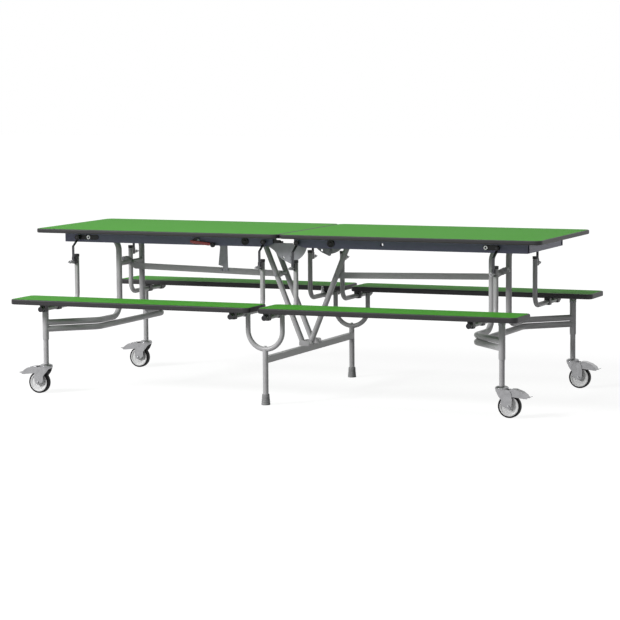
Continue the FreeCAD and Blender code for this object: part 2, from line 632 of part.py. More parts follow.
def head_tube(side):
    """Tube across the tops of the goosenecks; the folding shaft runs through it."""
    reach = GOOSENECK_Y + GOOSENECK_RADIUS
    outer = rod_y(side * LEG_X, PIVOT_Z, -reach, reach, HEAD_TUBE_RADIUS)
    return outer.cut(rod_y(side * LEG_X, PIVOT_Z, -reach, reach, SHAFT_RADIUS))


def stretcher_fork(side):
    """Two cheeks on stub bars between the goosenecks, with the bolt that carries the stretcher."""
    pieces = []
    pivot_x = STRETCHER_PIVOT_X
    pivot_z = stretcher_pivot_z()
    bar_x = PIPE_INNER_X
    cheek_inner = STRETCHER_WIDTH / 2 + 2 * SIDE_GAP
    cheek_outer = cheek_inner + FORK_CHEEK
    edge = STRETCHER_EYE_RADIUS
    outline = [(bar_x - edge, FORK_BAR_Z - FORK_BAR_RADIUS), (bar_x + edge, FORK_BAR_Z - FORK_BAR_RADIUS),
               (pivot_x + edge, pivot_z - edge), (pivot_x + edge, pivot_z + edge / 2),
               (pivot_x + edge / 2, pivot_z + edge), (pivot_x - edge, pivot_z + edge),
               (bar_x - edge, FORK_BAR_Z + FORK_BAR_RADIUS)]
    outline = [(side * x, z) for x, z in outline]
    for front_back in (-1, 1):
        cheek = plate_xz(outline, front_back * cheek_inner, front_back * cheek_outer)
        cheek = cheek.cut(rod_y(side * pivot_x, pivot_z, -cheek_outer, cheek_outer, FORK_BOLT_RADIUS))
        stub = rod_y(side * bar_x, FORK_BAR_Z, front_back * cheek_outer,
                     front_back * GOOSENECK_Y, FORK_BAR_RADIUS)
        post = rod_z(side * bar_x, front_back * GOOSENECK_Y, UPPER_PIPE_Z, PIVOT_Z, GOOSENECK_RADIUS)
        pieces += [cheek, stub.cut(post)]
    bolt = rod_y(side * pivot_x, pivot_z, -cheek_outer, cheek_outer, FORK_BOLT_RADIUS)
    for direction in (-1, 1):
        head = rod_y(side * pivot_x, pivot_z, direction * cheek_outer,
                     direction * (cheek_outer + BOLT_HEAD), BENCH_HEAD_RADIUS)
        bolt = bolt.fuse(head)
    pieces.append(bolt.removeSplitter())
    return pieces


def leg_insert(side, front_back):
    """Lower tube of a castor leg, with the plug that holds the castor's stem."""
    bottom = CASTOR_TOP_Z + SIDE_GAP
    top = LOWER_PIPE_Z + INSERT_ABOVE_PIPE
    tube = leg_cylinder(side, front_back, INSERT_RADIUS, bottom, top)
    hollow = leg_cylinder(side, front_back, INSERT_RADIUS - INSERT_WALL, bottom + INSERT_PLUG, top)
    bore = leg_cylinder(side, front_back, STEM_RADIUS + RUNNING, bottom, bottom + INSERT_PLUG)
    return tube.cut(hollow).cut(bore)


def end_frame(side):
    """Everything of the end frame but its bent pipes."""
    pieces = [head_tube(side)]
    for front_back in (-1, 1):
        pieces += [leg_sleeve(side, front_back), leg_insert(side, front_back),
                   bench_pivot_bolt(side, front_back)]
    folding_shaft = rod_y(side * LEG_X, PIVOT_Z, -RAIL_OUTER_Y, RAIL_OUTER_Y, SHAFT_RADIUS)
    return pieces + [folding_shaft] + stretcher_fork(side)


def end_pipes(side):
    return [lower_pipe(side), gooseneck(side, -1), gooseneck(side, 1)]


# ---------------------------------------------------------------- castors
def castor_outline(side, points):
    return [(side * (LEG_X + x), z) for x, z in points]


def fork_plan(side, front_back, grown):
    """The pressed fork's outline from above: a half-round nose, then cheeks that come together."""
    centre = Vector(side * LEG_X, front_back * LEG_Y, FORK_BOTTOM_Z)
    nose = FORK_NOSE_RADIUS + grown
    width = FORK_HALF_WIDTH + grown
    reach = max(x for x, z in FORK_SIDE)
    corners = [(0, nose), (FORK_TAPER_END, width), (reach, width),
               (reach, -width), (FORK_TAPER_END, -width), (0, -nose)]
    points = [centre + Vector(side * x, y, 0) for x, y in corners]
    edges = [Part.LineSegment(here, there).toShape() for here, there in zip(points, points[1:])]
    nose_point = centre - Vector(side * nose, 0, 0)
    edges.append(Part.Arc(points[-1], nose_point, points[0]).toShape())
    return Part.Face(Part.Wire(edges))


def castor_fork(side, front_back):
    """Swivel head with its stem, the pressed fork, and the pins of the wheel and the pedal."""
    x = side * LEG_X
    y = front_back * LEG_Y
    stem = rod_z(x, y, CASTOR_TOP_Z, CASTOR_TOP_Z + STEM_LENGTH, STEM_RADIUS)
    rim_top = FORK_TOP_Z + CASTOR_HEAD_EDGE
    rim = rod_z(x, y, FORK_TOP_Z, rim_top, CASTOR_HEAD_RADIUS)
    dome = Part.makeCone(CASTOR_HEAD_RADIUS, CASTOR_HEAD_TOP_RADIUS, CASTOR_TOP_Z - rim_top,
                         Vector(x, y, rim_top), Vector(0, 0, 1))
    height = Vector(0, 0, FORK_TOP_Z - FORK_BOTTOM_Z)
    outer = fork_plan(side, front_back, 0.0).extrude(height)
    inner = fork_plan(side, front_back, -FORK_PLATE).extrude(height - Vector(0, 0, FORK_PLATE))
    past_crown = block(side * (LEG_X + FORK_CROWN_END), side * (LEG_X + PEDAL_PIVOT[0] + WHEEL_RADIUS),
                       y - FORK_HALF_WIDTH + FORK_PLATE, y + FORK_HALF_WIDTH - FORK_PLATE,
                       FORK_BOTTOM_Z, FORK_TOP_Z)
    side_shape = plate_xz(castor_outline(side, FORK_SIDE), y - FORK_NOSE_RADIUS, y + FORK_NOSE_RADIUS)
    fork = outer.cut(inner).cut(past_crown).common(side_shape)
    axle_x = side * (LEG_X + CASTOR_TRAIL)
    reach = FORK_HALF_WIDTH + AXLE_END
    axle = rod_y(axle_x, WHEEL_RADIUS, y - reach, y + reach, AXLE_RADIUS)
    pin_x = side * (LEG_X + PEDAL_PIVOT[0])
    pin = rod_y(pin_x, PEDAL_PIVOT[1], y - FORK_HALF_WIDTH, y + FORK_HALF_WIDTH, PEDAL_PIN_RADIUS)
    return [stem.fuse([rim, dome, fork, axle, pin]).removeSplitter()]


def castor_wheel(side, front_back):
    """Hub with a dished face on both sides."""
    x = side * (LEG_X + CASTOR_TRAIL)
    y = front_back * LEG_Y
    hub_radius = WHEEL_RADIUS - TYRE_THICKNESS
    half = HUB_WIDTH / 2
    hub = rod_y(x, WHEEL_RADIUS, y - half, y + half, hub_radius)
    for direction in (-1, 1):
        ring = rod_y(x, WHEEL_RADIUS, y + direction * (half - HUB_DISH), y + direction * half,
                     hub_radius - HUB_RIM)
        ring = ring.cut(rod_y(x, WHEEL_RADIUS, y + direction * (half - HUB_DISH), y + direction * half,
                              HUB_BOSS_RADIUS))
        hub = hub.cut(ring)
    return [hub.cut(rod_y(x, WHEEL_RADIUS, y - half, y + half, AXLE_RADIUS + RUNNING))]


def castor_tyre(side, front_back):
    x = side * (LEG_X + CASTOR_TRAIL)
    y = front_back * LEG_Y
    half = TYRE_WIDTH / 2
    tyre = rod_y(x, WHEEL_RADIUS, y - half, y + half, WHEEL_RADIUS)
    rims = [edge for edge in tyre.Edges if edge.Curve.TypeId == "Part::GeomCircle"]
    tyre = tyre.makeFillet(TYRE_ROUNDING, rims)
    return [tyre.cut(rod_y(x, WHEEL_RADIUS, y - half, y + half, WHEEL_RADIUS - TYRE_THICKNESS))]


def brake_pedal(side, front_back):
    """Channel over the wheel: two side walls on the fork's pin, a top with a flat tip, and a shoe."""
    y = front_back * LEG_Y
    pivot_x, pivot_z = PEDAL_PIVOT
    inner = PEDAL_HALF_WIDTH - PEDAL_PLATE
    top = plate_xz(castor_outline(side, PEDAL_TOP_SIDE), y - PEDAL_HALF_WIDTH, y + PEDAL_HALF_WIDTH)
    parts = [plate_xz(castor_outline(side, SHOE_SIDE), y - SHOE_HALF_WIDTH, y + SHOE_HALF_WIDTH)]
    for direction in (-1, 1):
        near = y + direction * inner
        far = y + direction * PEDAL_HALF_WIDTH
        parts.append(plate_xz(castor_outline(side, PEDAL_WALL_SIDE), near, far))
        parts.append(rod_y(side * (LEG_X + pivot_x), pivot_z, near, far, PEDAL_EYE_RADIUS))
    pedal = top.fuse(parts).removeSplitter()
    pin = rod_y(side * (LEG_X + pivot_x), pivot_z, y - PEDAL_HALF_WIDTH, y + PEDAL_HALF_WIDTH,
                PEDAL_PIN_RADIUS + RUNNING)
    return [pedal.cut(pin)]


# ---------------------------------------------------------------- benches and their hangers
def bench(side, front_back):
    x1 = side * BENCH_INNER_X
    x2 = side * BENCH_OUTER_X
    y1 = front_back * BENCH_INNER_Y
    y2 = front_back * BENCH_OUTER_Y
    radii = (BENCH_CORNER_RADIUS, BENCH_CORNER_RADIUS)
    return band_and_board(min(x1, x2), max(x1, x2), min(y1, y2), max(y1, y2),
                          BENCH_HEIGHT, BENCH_THICKNESS, radii)


def bench_brackets(side, front_back):
    """Bearings for the two hangers, and the ears on the castor leg's bolt."""
    pieces = []
    for index in (0, 1):
        x = hanger_x(side, index)
        half = HANGER_RADIUS + BEARING_WALL
        first = front_back * BEARING_Y[0]
        last = front_back * (BEARING_Y[1] + BEARING_LENGTH)
        strip = block(x - half, x + half, first, last, BENCH_BOTTOM - BEARING_STRIP, BENCH_BOTTOM)
        for start in BEARING_Y:
            lug = block(x - half, x + half, front_back * start, front_back * (start + BEARING_LENGTH),
                        BENCH_PIVOT_Z - half, BENCH_BOTTOM)
            strip = strip.fuse(lug)
        bore = rod_y(x, BENCH_PIVOT_Z, first, last, HANGER_RADIUS + RUNNING)
        pieces.append(strip.cut(bore).removeSplitter())
    middle = front_back * LEG_Y
    for direction in (-1, 1):
        start = middle + direction * (SLEEVE_RADIUS + SIDE_GAP)
        end = start + direction * EAR_THICKNESS
        width = BENCH_EAR_RADIUS
        ear = block(side * LEG_X - width, side * LEG_X + width, start, end, BENCH_PIVOT_Z, BENCH_BOTTOM)
        ear = ear.fuse(rod_y(side * LEG_X, BENCH_PIVOT_Z, start, end, width)).removeSplitter()
        hole = rod_y(side * LEG_X, BENCH_PIVOT_Z, start, end, BENCH_BOLT_RADIUS + RUNNING)
        pieces.append(ear.cut(hole))
    return pieces


def hanger(side, front_back, index):
    """J-shaped tube, end caps, and the cranked link that hangs it on the rail's pin."""
    x = hanger_x(side, index)
    y = front_back * HANGER_Y
    end_y = front_back * HANGER_REACH_Y
    path = bend_path([Vector(x, y, HANGER_TOP_Z), Vector(x, y, BENCH_PIVOT_Z),
                      Vector(x, end_y, BENCH_PIVOT_Z)], [HANGER_BEND])
    link_face = LINK_Y + LINK_STEP_Y + LINK_THICKNESS
    bolt = rod_y(x, LINK_BOLT_Z, y, front_back * (link_face + LINK_BOLT_TAIL), LINK_BOLT_RADIUS)
    tube = tube_along(path, HANGER_RADIUS, HANGER_WALL).cut(bolt)
    cap = rod_z(x, y, HANGER_TOP_Z, HANGER_TOP_Z + HANGER_CAP, HANGER_RADIUS + 1)
    plug = rod_y(x, BENCH_PIVOT_Z, end_y, end_y + front_back * HANGER_CAP, HANGER_RADIUS + 1)
    inner = front_back * LINK_Y
    thick = front_back * LINK_THICKNESS
    step = front_back * LINK_STEP_Y
    half = LINK_WIDTH / 2
    crank_top, crank_bottom = [PIVOT_Z - drop for drop in LINK_BEND_DROP]
    outline = [(inner, PIVOT_Z), (inner + thick, PIVOT_Z),
               (inner + thick, crank_top), (inner + step + thick, crank_bottom),
               (inner + step + thick, LINK_BOLT_Z), (inner + step, LINK_BOLT_Z),
               (inner + step, crank_bottom), (inner, crank_top)]
    link = plate_yz(outline, x - half, x + half)
    link = link.fuse([rod_y(x, PIVOT_Z, inner, inner + thick, LINK_EYE_RADIUS),
                      rod_y(x, LINK_BOLT_Z, inner + step, inner + step + thick, CLAMP_HALF_WIDTH)])
    link = link.cut(rod_y(x, PIVOT_Z, inner, inner + thick, HANGER_PIN_RADIUS + RUNNING))
    link = link.removeSplitter().cut(bolt)
    clamp = block(x - CLAMP_HALF_WIDTH, x + CLAMP_HALF_WIDTH, y, inner + step,
                  LINK_BOLT_Z - CLAMP_BELOW_BOLT, HANGER_TOP_Z)
    clamp = clamp.cut(rod_z(x, y, BENCH_PIVOT_Z, HANGER_TOP_Z, HANGER_RADIUS)).cut(bolt)
    for start in (link_face, link_face + NUT_SPACING):
        nut = rod_y(x, LINK_BOLT_Z, front_back * start, front_back * (start + NUT_LENGTH), NUT_RADIUS)
        bolt = bolt.fuse(nut)
    pieces = [tube, cap, plug, link, clamp, bolt.removeSplitter()]
    if (side, front_back, index) == (-1, 1, 1):
        pieces.append(eye_plate(x))
    return pieces


def eye_plate(x):
    """Upright plate with an eye, welded on the level run of a hanger beside the bench."""
    near = x - EYE_PLATE / 2
    far = x + EYE_PLATE / 2
    eye_z = BENCH_PIVOT_Z + EYE_PLATE_RISE
    start = EYE_PLATE_Y - EYE_PLATE_RADIUS
    foot = block(near, far, start, EYE_PLATE_END, BENCH_PIVOT_Z, BENCH_PIVOT_Z + EYE_PLATE_TOP)
    middle = Vector(near, EYE_PLATE_Y, eye_z)
    eye = rod(middle, middle + Vector(EYE_PLATE, 0, 0), EYE_PLATE_RADIUS)
    hole = rod(middle, middle + Vector(EYE_PLATE, 0, 0), EYE_PLATE_HOLE)
    neck = block(near, far, start, EYE_PLATE_Y + EYE_PLATE_RADIUS, BENCH_PIVOT_Z, eye_z)
    plate = foot.fuse([neck, eye]).removeSplitter().cut(hole)
    return plate.cut(rod_y(x, BENCH_PIVOT_Z, start, EYE_PLATE_END, HANGER_RADIUS))


# ---------------------------------------------------------------- centre frame, arms, stretchers
def sloping_arm(side, y):
    """Tube with an eye on the rail's shaft and a flat eye at its foot."""
    top = Vector(side * ARM_PIVOT_X, y, PIVOT_Z)
    foot = Vector(side * ARM_FOOT_X, y, ARM_FOOT_Z)
    arm = rod(top, foot, ARM_RADIUS)
    eye_reach = ARM_RADIUS + ARM_EYE_EXTRA
    arm = arm.fuse([rod_y(top.x, top.z, y - eye_reach, y + eye_reach, ARM_EYE_RADIUS),
                    rod_y(foot.x, foot.z, y - ARM_RADIUS, y + ARM_RADIUS, ARM_RADIUS)])
    along = (foot - top).normalize()
    hollow = rod(top + along * (ARM_EYE_RADIUS + 2), foot - along * (ARM_RADIUS + 2), ARM_RADIUS - ARM_WALL)
    arm = arm.cut(hollow)
    arm = arm.cut(rod_y(top.x, top.z, y - eye_reach, y + eye_reach, ARM_SHAFT_RADIUS + RUNNING))
    pin_x = side * STRETCHER_PIN_X
    pin_z = STRETCHER_PIN_Z
    outward = 1 if y > 0 else -1
    bolt = rod_y(pin_x, pin_z, y - outward * ARM_RADIUS, y + outward * (ARM_RADIUS + 1), ARM_BOLT_RADIUS)
    arm = arm.cut(bolt)
    head_start = y + outward * (ARM_RADIUS + 1)
    head = rod_y(pin_x, pin_z, head_start, head_start + outward * BOLT_HEAD, ARM_HEAD_RADIUS)
    return [arm, bolt.fuse(head).removeSplitter()]


def stretcher(side):
    """Level bar from the end frame's fork to the arms, with a cross sleeve between the arms."""
    pin_x = STRETCHER_PIN_X
    pin_z = STRETCHER_PIN_Z
    knee_x = LEG_X - STRETCHER_KNEE_INSET
    knee_z = PIVOT_Z - STRETCHER_KNEE_DROP
    pivot_x = STRETCHER_PIVOT_X
    pivot_z = stretcher_pivot_z()
    half = STRETCHER_WIDTH / 2
    rise = STRETCHER_HEIGHT / 2
    eye = STRETCHER_EYE_RADIUS
    bar = plate_xz([(side * pin_x, pin_z - rise), (side * knee_x, knee_z - rise),
                    (side * knee_x, knee_z + rise), (side * pin_x, pin_z + rise)], -half, half)
    hollow_rise = rise - STRETCHER_WALL
    hollow_start = pin_x + STRETCHER_PLUG
    hollow_end = knee_x - STRETCHER_KNEE_PLUG
    hollow = plate_xz([(side * hollow_start, pin_z - hollow_rise), (side * hollow_end, knee_z - hollow_rise),
                       (side * hollow_end, knee_z + hollow_rise), (side * hollow_start, pin_z + hollow_rise)],
                      -half + STRETCHER_WALL, half - STRETCHER_WALL)
    crank = plate_xz([(side * knee_x, knee_z - rise), (side * (pivot_x + eye / 2), pivot_z - eye + 1),
                      (side * (pivot_x + eye / 2), pivot_z + eye - 1), (side * knee_x, knee_z + rise)],
                     -half, half)
    eye_ring = rod_y(side * pivot_x, pivot_z, -half, half, eye)
    if side < 0:
        sleeve_start = ARM_PAIR_Y - ARM_RADIUS - SIDE_GAP
        sleeve = rod_y(side * pin_x, pin_z, -sleeve_start, sleeve_start, STRETCHER_SLEEVE_RADIUS)
    else:
        sleeve = rod_y(side * pin_x, pin_z, ARM_SINGLE_Y + ARM_RADIUS + SIDE_GAP, half, rise)
    body = bar.fuse([crank, eye_ring, sleeve]).removeSplitter().cut(hollow)
    body = body.cut(rod_y(side * pivot_x, pivot_z, -half, half, FORK_BOLT_RADIUS + RUNNING))
    pieces = [body]
    if side < 0:
        pieces.append(rod_y(-LEVER_X, PIVOT_Z - CATCH_DROP, -half, -half - CATCH_LENGTH, CATCH_RADIUS))
    return pieces


def u_path(front_back):
    y = front_back * CENTRE_LEG_Y
    top = BENCH_BOTTOM - REST_GAP - SADDLE_THICKNESS
    arc_z = U_BOTTOM_Z + U_HALF_WIDTH
    left_top = Vector(-U_HALF_WIDTH, y, top)
    left_arc = Vector(-U_HALF_WIDTH, y, arc_z)
    right_arc = Vector(U_HALF_WIDTH, y, arc_z)
    right_top = Vector(U_HALF_WIDTH, y, top)
    return Part.Wire([Part.LineSegment(left_top, left_arc).toShape(),
                      Part.Arc(left_arc, Vector(0, y, U_BOTTOM_Z), right_arc).toShape(),
                      Part.LineSegment(right_arc, right_top).toShape()])


def u_tubes():
    """The U-shaped tubes that hold the saddle pads, one on each centre leg."""
    return [tube_along(u_path(front_back), U_RADIUS, U_WALL) for front_back in (-1, 1)]


def centre_leg(front_back):
    """Upright tube under a U, cut to the U's curve, and the plug that is welded between them."""
    y = front_back * CENTRE_LEG_Y
    u_shape = sweep(u_path(front_back), U_RADIUS)
    leg = straight_tube(Vector(0, y, FOOT_SOLE), Vector(0, y, U_BOTTOM_Z), CENTRE_LEG_RADIUS, CENTRE_LEG_WALL)
    plug = rod_z(0, y, U_BOTTOM_Z, U_BOTTOM_Z + U_RADIUS + U_PLUG_RISE, U_PLUG_RADIUS)
    return [leg.cut(u_shape), plug.cut(u_shape)]


def foot_ears():
    """Plates on the crossbar that stand beside the foot of each arm."""
    ear = EAR_THICKNESS
    gap = ARM_RADIUS + SIDE_GAP
    near_inner = -ARM_PAIR_Y + gap
    spans = [(-ARM_PAIR_Y - gap - ear, -ARM_PAIR_Y - gap), (near_inner, ARM_SINGLE_Y - gap),
             (ARM_SINGLE_Y + gap, ARM_SINGLE_Y + gap + ear),
             (ARM_PAIR_Y - gap - ear, ARM_PAIR_Y - gap), (ARM_PAIR_Y + gap, ARM_PAIR_Y + gap + ear)]
    ears = []
    for start, end in spans:
        plate = block(-EAR_HALF_WIDTH, EAR_HALF_WIDTH, start, end, CROSSBAR_TOP, ARM_FOOT_Z + EAR_RISE)
        top_edges = [edge for edge in plate.Edges
                     if abs(edge.tangentAt(edge.FirstParameter).y) > 0.99
                     and edge.CenterOfMass.z > ARM_FOOT_Z]
        ears.append(plate.makeFillet(EAR_RISE, top_edges))
    return ears


def centre_frame():
    reach = CENTRE_LEG_Y
    bar = rect_tube_y(0, CROSSBAR_WIDTH, CROSSBAR_BOTTOM_Z, CROSSBAR_TOP, -reach, reach, CROSSBAR_WALL)
    pieces = []
    for front_back in (-1, 1):
        bar = bar.cut(rod_z(0, front_back * CENTRE_LEG_Y, CROSSBAR_BOTTOM_Z, CROSSBAR_TOP, CENTRE_LEG_RADIUS))
        pieces += centre_leg(front_back)
    return [bar] + pieces + foot_ears()


def foot_tips():
    """Rubber feet of the centre legs."""
    tips = []
    for front_back in (-1, 1):
        y = front_back * CENTRE_LEG_Y
        cone = Part.makeCone(FOOT_TIP_RADIUS, FOOT_TIP_TOP_RADIUS, FOOT_TIP_HEIGHT, Vector(0, y, 0))
        tips.append(cone.cut(rod_z(0, y, FOOT_SOLE, FOOT_TIP_HEIGHT, CENTRE_LEG_RADIUS)))
    return tips


def saddle_pads():
    pads = []
    top = BENCH_BOTTOM - REST_GAP
    for front_back in (-1, 1):
        y = front_back * CENTRE_LEG_Y
        for side in (-1, 1):
            pads.append(block(side * (U_HALF_WIDTH - U_RADIUS), side * (U_HALF_WIDTH + SADDLE_OUTWARD),
                              y - SADDLE_HALF_DEPTH, y + SADDLE_HALF_DEPTH,
                              top - SADDLE_THICKNESS, top))
    return pads


# ---------------------------------------------------------------- release lever
def lever_outline(points):
    return [(-LEVER_X + x, PIVOT_Z + z) for x, z in points]


def release_handle():
    """Round base on the shaft, the grip bar on the base, and the knob at the bar's end."""
    base_back = -RAIL_OUTER_Y - LEVER_SEAT
    base_front = base_back - LEVER_BASE
    bar_front = base_front - LEVER_BAR_THICKNESS
    base = rod_y(-LEVER_X + LEVER_BASE_SHIFT, PIVOT_Z - LEVER_BASE_DROP, base_back, base_front,
                 LEVER_BASE_RADIUS)
    base = base.cut(rod_y(-LEVER_X, PIVOT_Z, base_back, base_front, LEVER_SHAFT_RADIUS))
    knob = rod_y(-LEVER_X + LEVER_KNOB_SHIFT, PIVOT_Z - LEVER_KNOB_DROP, base_front,
                 base_front - LEVER_KNOB_LENGTH, LEVER_KNOB_RADIUS)
    bar = plate_xz(lever_outline(LEVER_BAR), base_front, bar_front)
    face_edges = [edge for edge in bar.Edges if abs(edge.CenterOfMass.y - bar_front) < 0.01]
    return [base, bar.makeFillet(LEVER_ROUNDING, face_edges).cut(knob), knob]


def latch_hook():
    """Cross shaft of the lever, and the hook that hangs from it beside the left stretcher."""
    front = -RAIL_OUTER_Y - LEVER_SEAT - LEVER_BASE
    shaft = rod_y(-LEVER_X, PIVOT_Z, front, RAIL_OUTER_Y, LEVER_SHAFT_RADIUS)
    y1 = -STRETCHER_WIDTH / 2 - 2 * SIDE_GAP
    y2 = y1 - LATCH_THICKNESS
    hook = plate_xz(lever_outline(LATCH_OUTLINE), y1, y2)
    return [shaft, hook.cut(rod_y(-LEVER_X, PIVOT_Z, y1, y2, LEVER_SHAFT_RADIUS))]


# ---------------------------------------------------------------- all nodes
def all_nodes():
    nodes = {}
    for side, hand in SIDES.items():
        nodes["top_edge_" + hand], nodes["top_board_" + hand] = [[piece] for piece in table_half(side)]
        nodes["underframe_" + hand] = underframe(side)
        nodes["hinge_plates_" + hand] = hinge_plates(side)
        nodes["rail_fittings_" + hand] = rail_fittings(side)
        nodes["end_frame_" + hand] = end_frame(side)
        nodes["end_pipes_" + hand] = end_pipes(side)
        nodes["stretcher_" + hand] = stretcher(side)
        for front_back, row in FRONT_BACK.items():
            place = row + "_" + hand
            edge, board = bench(side, front_back)
            nodes["bench_edge_" + place] = [edge]
            nodes["bench_board_" + place] = [board]
            nodes["bench_brackets_" + place] = bench_brackets(side, front_back)
            nodes["castor_fork_" + place] = castor_fork(side, front_back)
            nodes["castor_wheel_" + place] = castor_wheel(side, front_back)
            nodes["castor_tyre_" + place] = castor_tyre(side, front_back)
            nodes["brake_pedal_" + place] = brake_pedal(side, front_back)
            for index, where in enumerate(("outer", "inner")):
                nodes["hanger_" + place + "_" + where] = hanger(side, front_back, index)
    nodes["centre_hinge_bolts"] = centre_hinge_bolts()
    nodes["arms_left"] = sloping_arm(-1, -ARM_PAIR_Y) + sloping_arm(-1, ARM_PAIR_Y)
    nodes["arm_right"] = sloping_arm(1, ARM_SINGLE_Y)
    nodes["centre_frame"] = centre_frame()
    nodes["u_tubes"] = u_tubes()
    nodes["centre_pads"] = foot_tips() + saddle_pads()
    nodes["release_handle"] = release_handle()
    nodes["latch_hook"] = latch_hook()
    return nodes


os.makedirs("parts", exist_ok=True)
for name, pieces in all_nodes().items():
    solids = [solid for piece in pieces for solid in piece.Solids]
    shape = solids[0] if len(solids) == 1 else Part.makeCompound(solids)
    if not shape.isValid():
        print("not valid:", name)
    print("%-34s %2d solids  %9.1f cm3" % (name, len(solids), shape.Volume / 1000))
    shape.exportStep("parts/" + name + ".step")
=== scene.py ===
# %% [markdown]
# # Dressing a folding cafeteria table
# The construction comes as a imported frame: every tube, board, hinge and castor is there at its real
# size, in metres, with +X along the table and +Z up. This file gives the pieces their finish and
# models again the few that deserve finer shapes. Nothing here moves or resizes the construction.

# %% Load the frame
import json
import math

import bmesh
import bpy
from mathutils import Matrix, Vector


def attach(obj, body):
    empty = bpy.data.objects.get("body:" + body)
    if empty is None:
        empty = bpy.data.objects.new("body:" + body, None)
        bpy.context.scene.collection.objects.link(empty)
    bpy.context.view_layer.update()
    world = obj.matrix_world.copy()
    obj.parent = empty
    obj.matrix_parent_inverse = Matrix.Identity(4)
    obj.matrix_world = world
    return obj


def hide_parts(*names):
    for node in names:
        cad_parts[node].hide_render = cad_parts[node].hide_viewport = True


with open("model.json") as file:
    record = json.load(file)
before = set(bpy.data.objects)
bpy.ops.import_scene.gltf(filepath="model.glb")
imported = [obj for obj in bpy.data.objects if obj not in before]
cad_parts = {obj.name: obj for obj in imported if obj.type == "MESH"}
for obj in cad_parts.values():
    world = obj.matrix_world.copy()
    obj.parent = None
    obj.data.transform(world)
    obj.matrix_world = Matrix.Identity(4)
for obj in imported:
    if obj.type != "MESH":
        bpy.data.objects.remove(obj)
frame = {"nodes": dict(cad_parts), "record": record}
NODES = frame["nodes"]
BODY_OF = {node: body for body, members in frame["record"]["behaviour"]["bodies"].items()
           for node in members}
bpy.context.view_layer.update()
MM = 0.001
HANDS = {"left": -1, "right": 1}
ROWS = {"front": -1, "back": 1}
PLACES = [(row + "_" + hand, ROWS[row], HANDS[hand]) for row in ROWS for hand in HANDS]

# %% [markdown]
# ## The camera
# A long lens far away, a little above the table top, looks at it from the front and the right. It is
# built from three turns: yaw to the side, a small pitch down and a trace of roll. Blender could aim it
# with a constraint too, but three angles say plainly which way it looks.

# %% Camera
CAMERA_PLACE = Vector((4.5055, -10.5207, 1.5536))
CAMERA_YAW = math.radians(22.736)
CAMERA_PITCH = math.radians(5.929)
CAMERA_ROLL = math.radians(-0.337)
CAMERA_LENS = 146.9
CAMERA_SHIFT = (-0.0319, 0.0011)
CAMERA_FAR = 100.0


def aim_camera():
    forward = Vector((-math.sin(CAMERA_YAW) * math.cos(CAMERA_PITCH),
                      math.cos(CAMERA_YAW) * math.cos(CAMERA_PITCH),
                      -math.sin(CAMERA_PITCH)))
    right = forward.cross(Vector((0, 0, 1))).normalized()
    up = right.cross(forward)
    rolled_right = right * math.cos(CAMERA_ROLL) + up * math.sin(CAMERA_ROLL)
    rolled_up = up * math.cos(CAMERA_ROLL) - right * math.sin(CAMERA_ROLL)
    turn = Matrix((rolled_right, rolled_up, -forward)).transposed().to_4x4()
    camera = bpy.data.objects.new("camera", bpy.data.cameras.new("camera"))
    camera.matrix_world = Matrix.Translation(CAMERA_PLACE) @ turn
    camera.data.lens = CAMERA_LENS
    camera.data.shift_x, camera.data.shift_y = CAMERA_SHIFT
    camera.data.clip_end = CAMERA_FAR
    bpy.context.scene.collection.objects.link(camera)
    bpy.context.scene.camera = camera
    return camera


camera = aim_camera()
bpy.context.scene.view_settings.view_transform = "Standard"
print("camera lens", camera.data.lens)

# %% [markdown]
# ## Light and floor
# A product picture on white: one large soft lamp from the upper front left gives the form, a small one
# from the front right and one above the near long side lift the shadows, and the world is an even grey.
# All three are discs, because a round lamp leaves a round soft glint on tubes.

# %% Lamps
KEY_PLACE, KEY_SIZE, KEY_POWER = Vector((-5.2, -6.8, 4.8)), 2.6, 660.0
FILL_PLACE, FILL_SIZE, FILL_POWER = Vector((2.4, -6.0, 2.4)), 2.0, 16.0
TOP_PLACE, TOP_SIZE, TOP_POWER = Vector((-0.2, -1.6, 4.4)), 2.0, 42.0
LAMP_AIM = Vector((0, 0, 0.45))


def add_lamp(name, place, size, power):
    lamp = bpy.data.lights.new(name, "AREA")
    lamp.shape = "DISK"
    lamp.size = size
    lamp.energy = power
    holder = bpy.data.objects.new(name, lamp)
    holder.location = place
    holder.rotation_euler = (LAMP_AIM - place).to_track_quat("-Z", "Y").to_euler()
    bpy.context.scene.collection.objects.link(holder)


add_lamp("key_lamp", KEY_PLACE, KEY_SIZE, KEY_POWER)
add_lamp("fill_lamp", FILL_PLACE, FILL_SIZE, FILL_POWER)
add_lamp("top_lamp", TOP_PLACE, TOP_SIZE, TOP_POWER)
print("lamps:", [lamp.name for lamp in bpy.data.lights])

# %% [markdown]
# The white of the background is a colour that only the camera and mirror-like surfaces see, so it adds
# no light to the table. A Light Path node tells these rays from the others. The floor mixes two surfaces
# in the same way: a plain grey one that lights the table from below, and the one that is shown, which is
# part shaded and part simply white. The white part grows with the distance, so the table's shadow shows
# near it and the floor fades into the background.

# %% World
WORLD_GREY = 0.14
WORLD_SHOWN = 1.0


def backdrop_ray(tree):
    """1 for what the camera, a mirror or a glass sees of the background, else 0."""
    path = tree.nodes.new("ShaderNodeLightPath")
    mirror = tree.nodes.new("ShaderNodeMath")
    mirror.operation = "MAXIMUM"
    tree.links.new(path.outputs["Is Glossy Ray"], mirror.inputs[0])
    tree.links.new(path.outputs["Is Transmission Ray"], mirror.inputs[1])
    either = tree.nodes.new("ShaderNodeMath")
    either.operation = "MAXIMUM"
    tree.links.new(path.outputs["Is Camera Ray"], either.inputs[0])
    tree.links.new(mirror.outputs[0], either.inputs[1])
    return either.outputs[0]


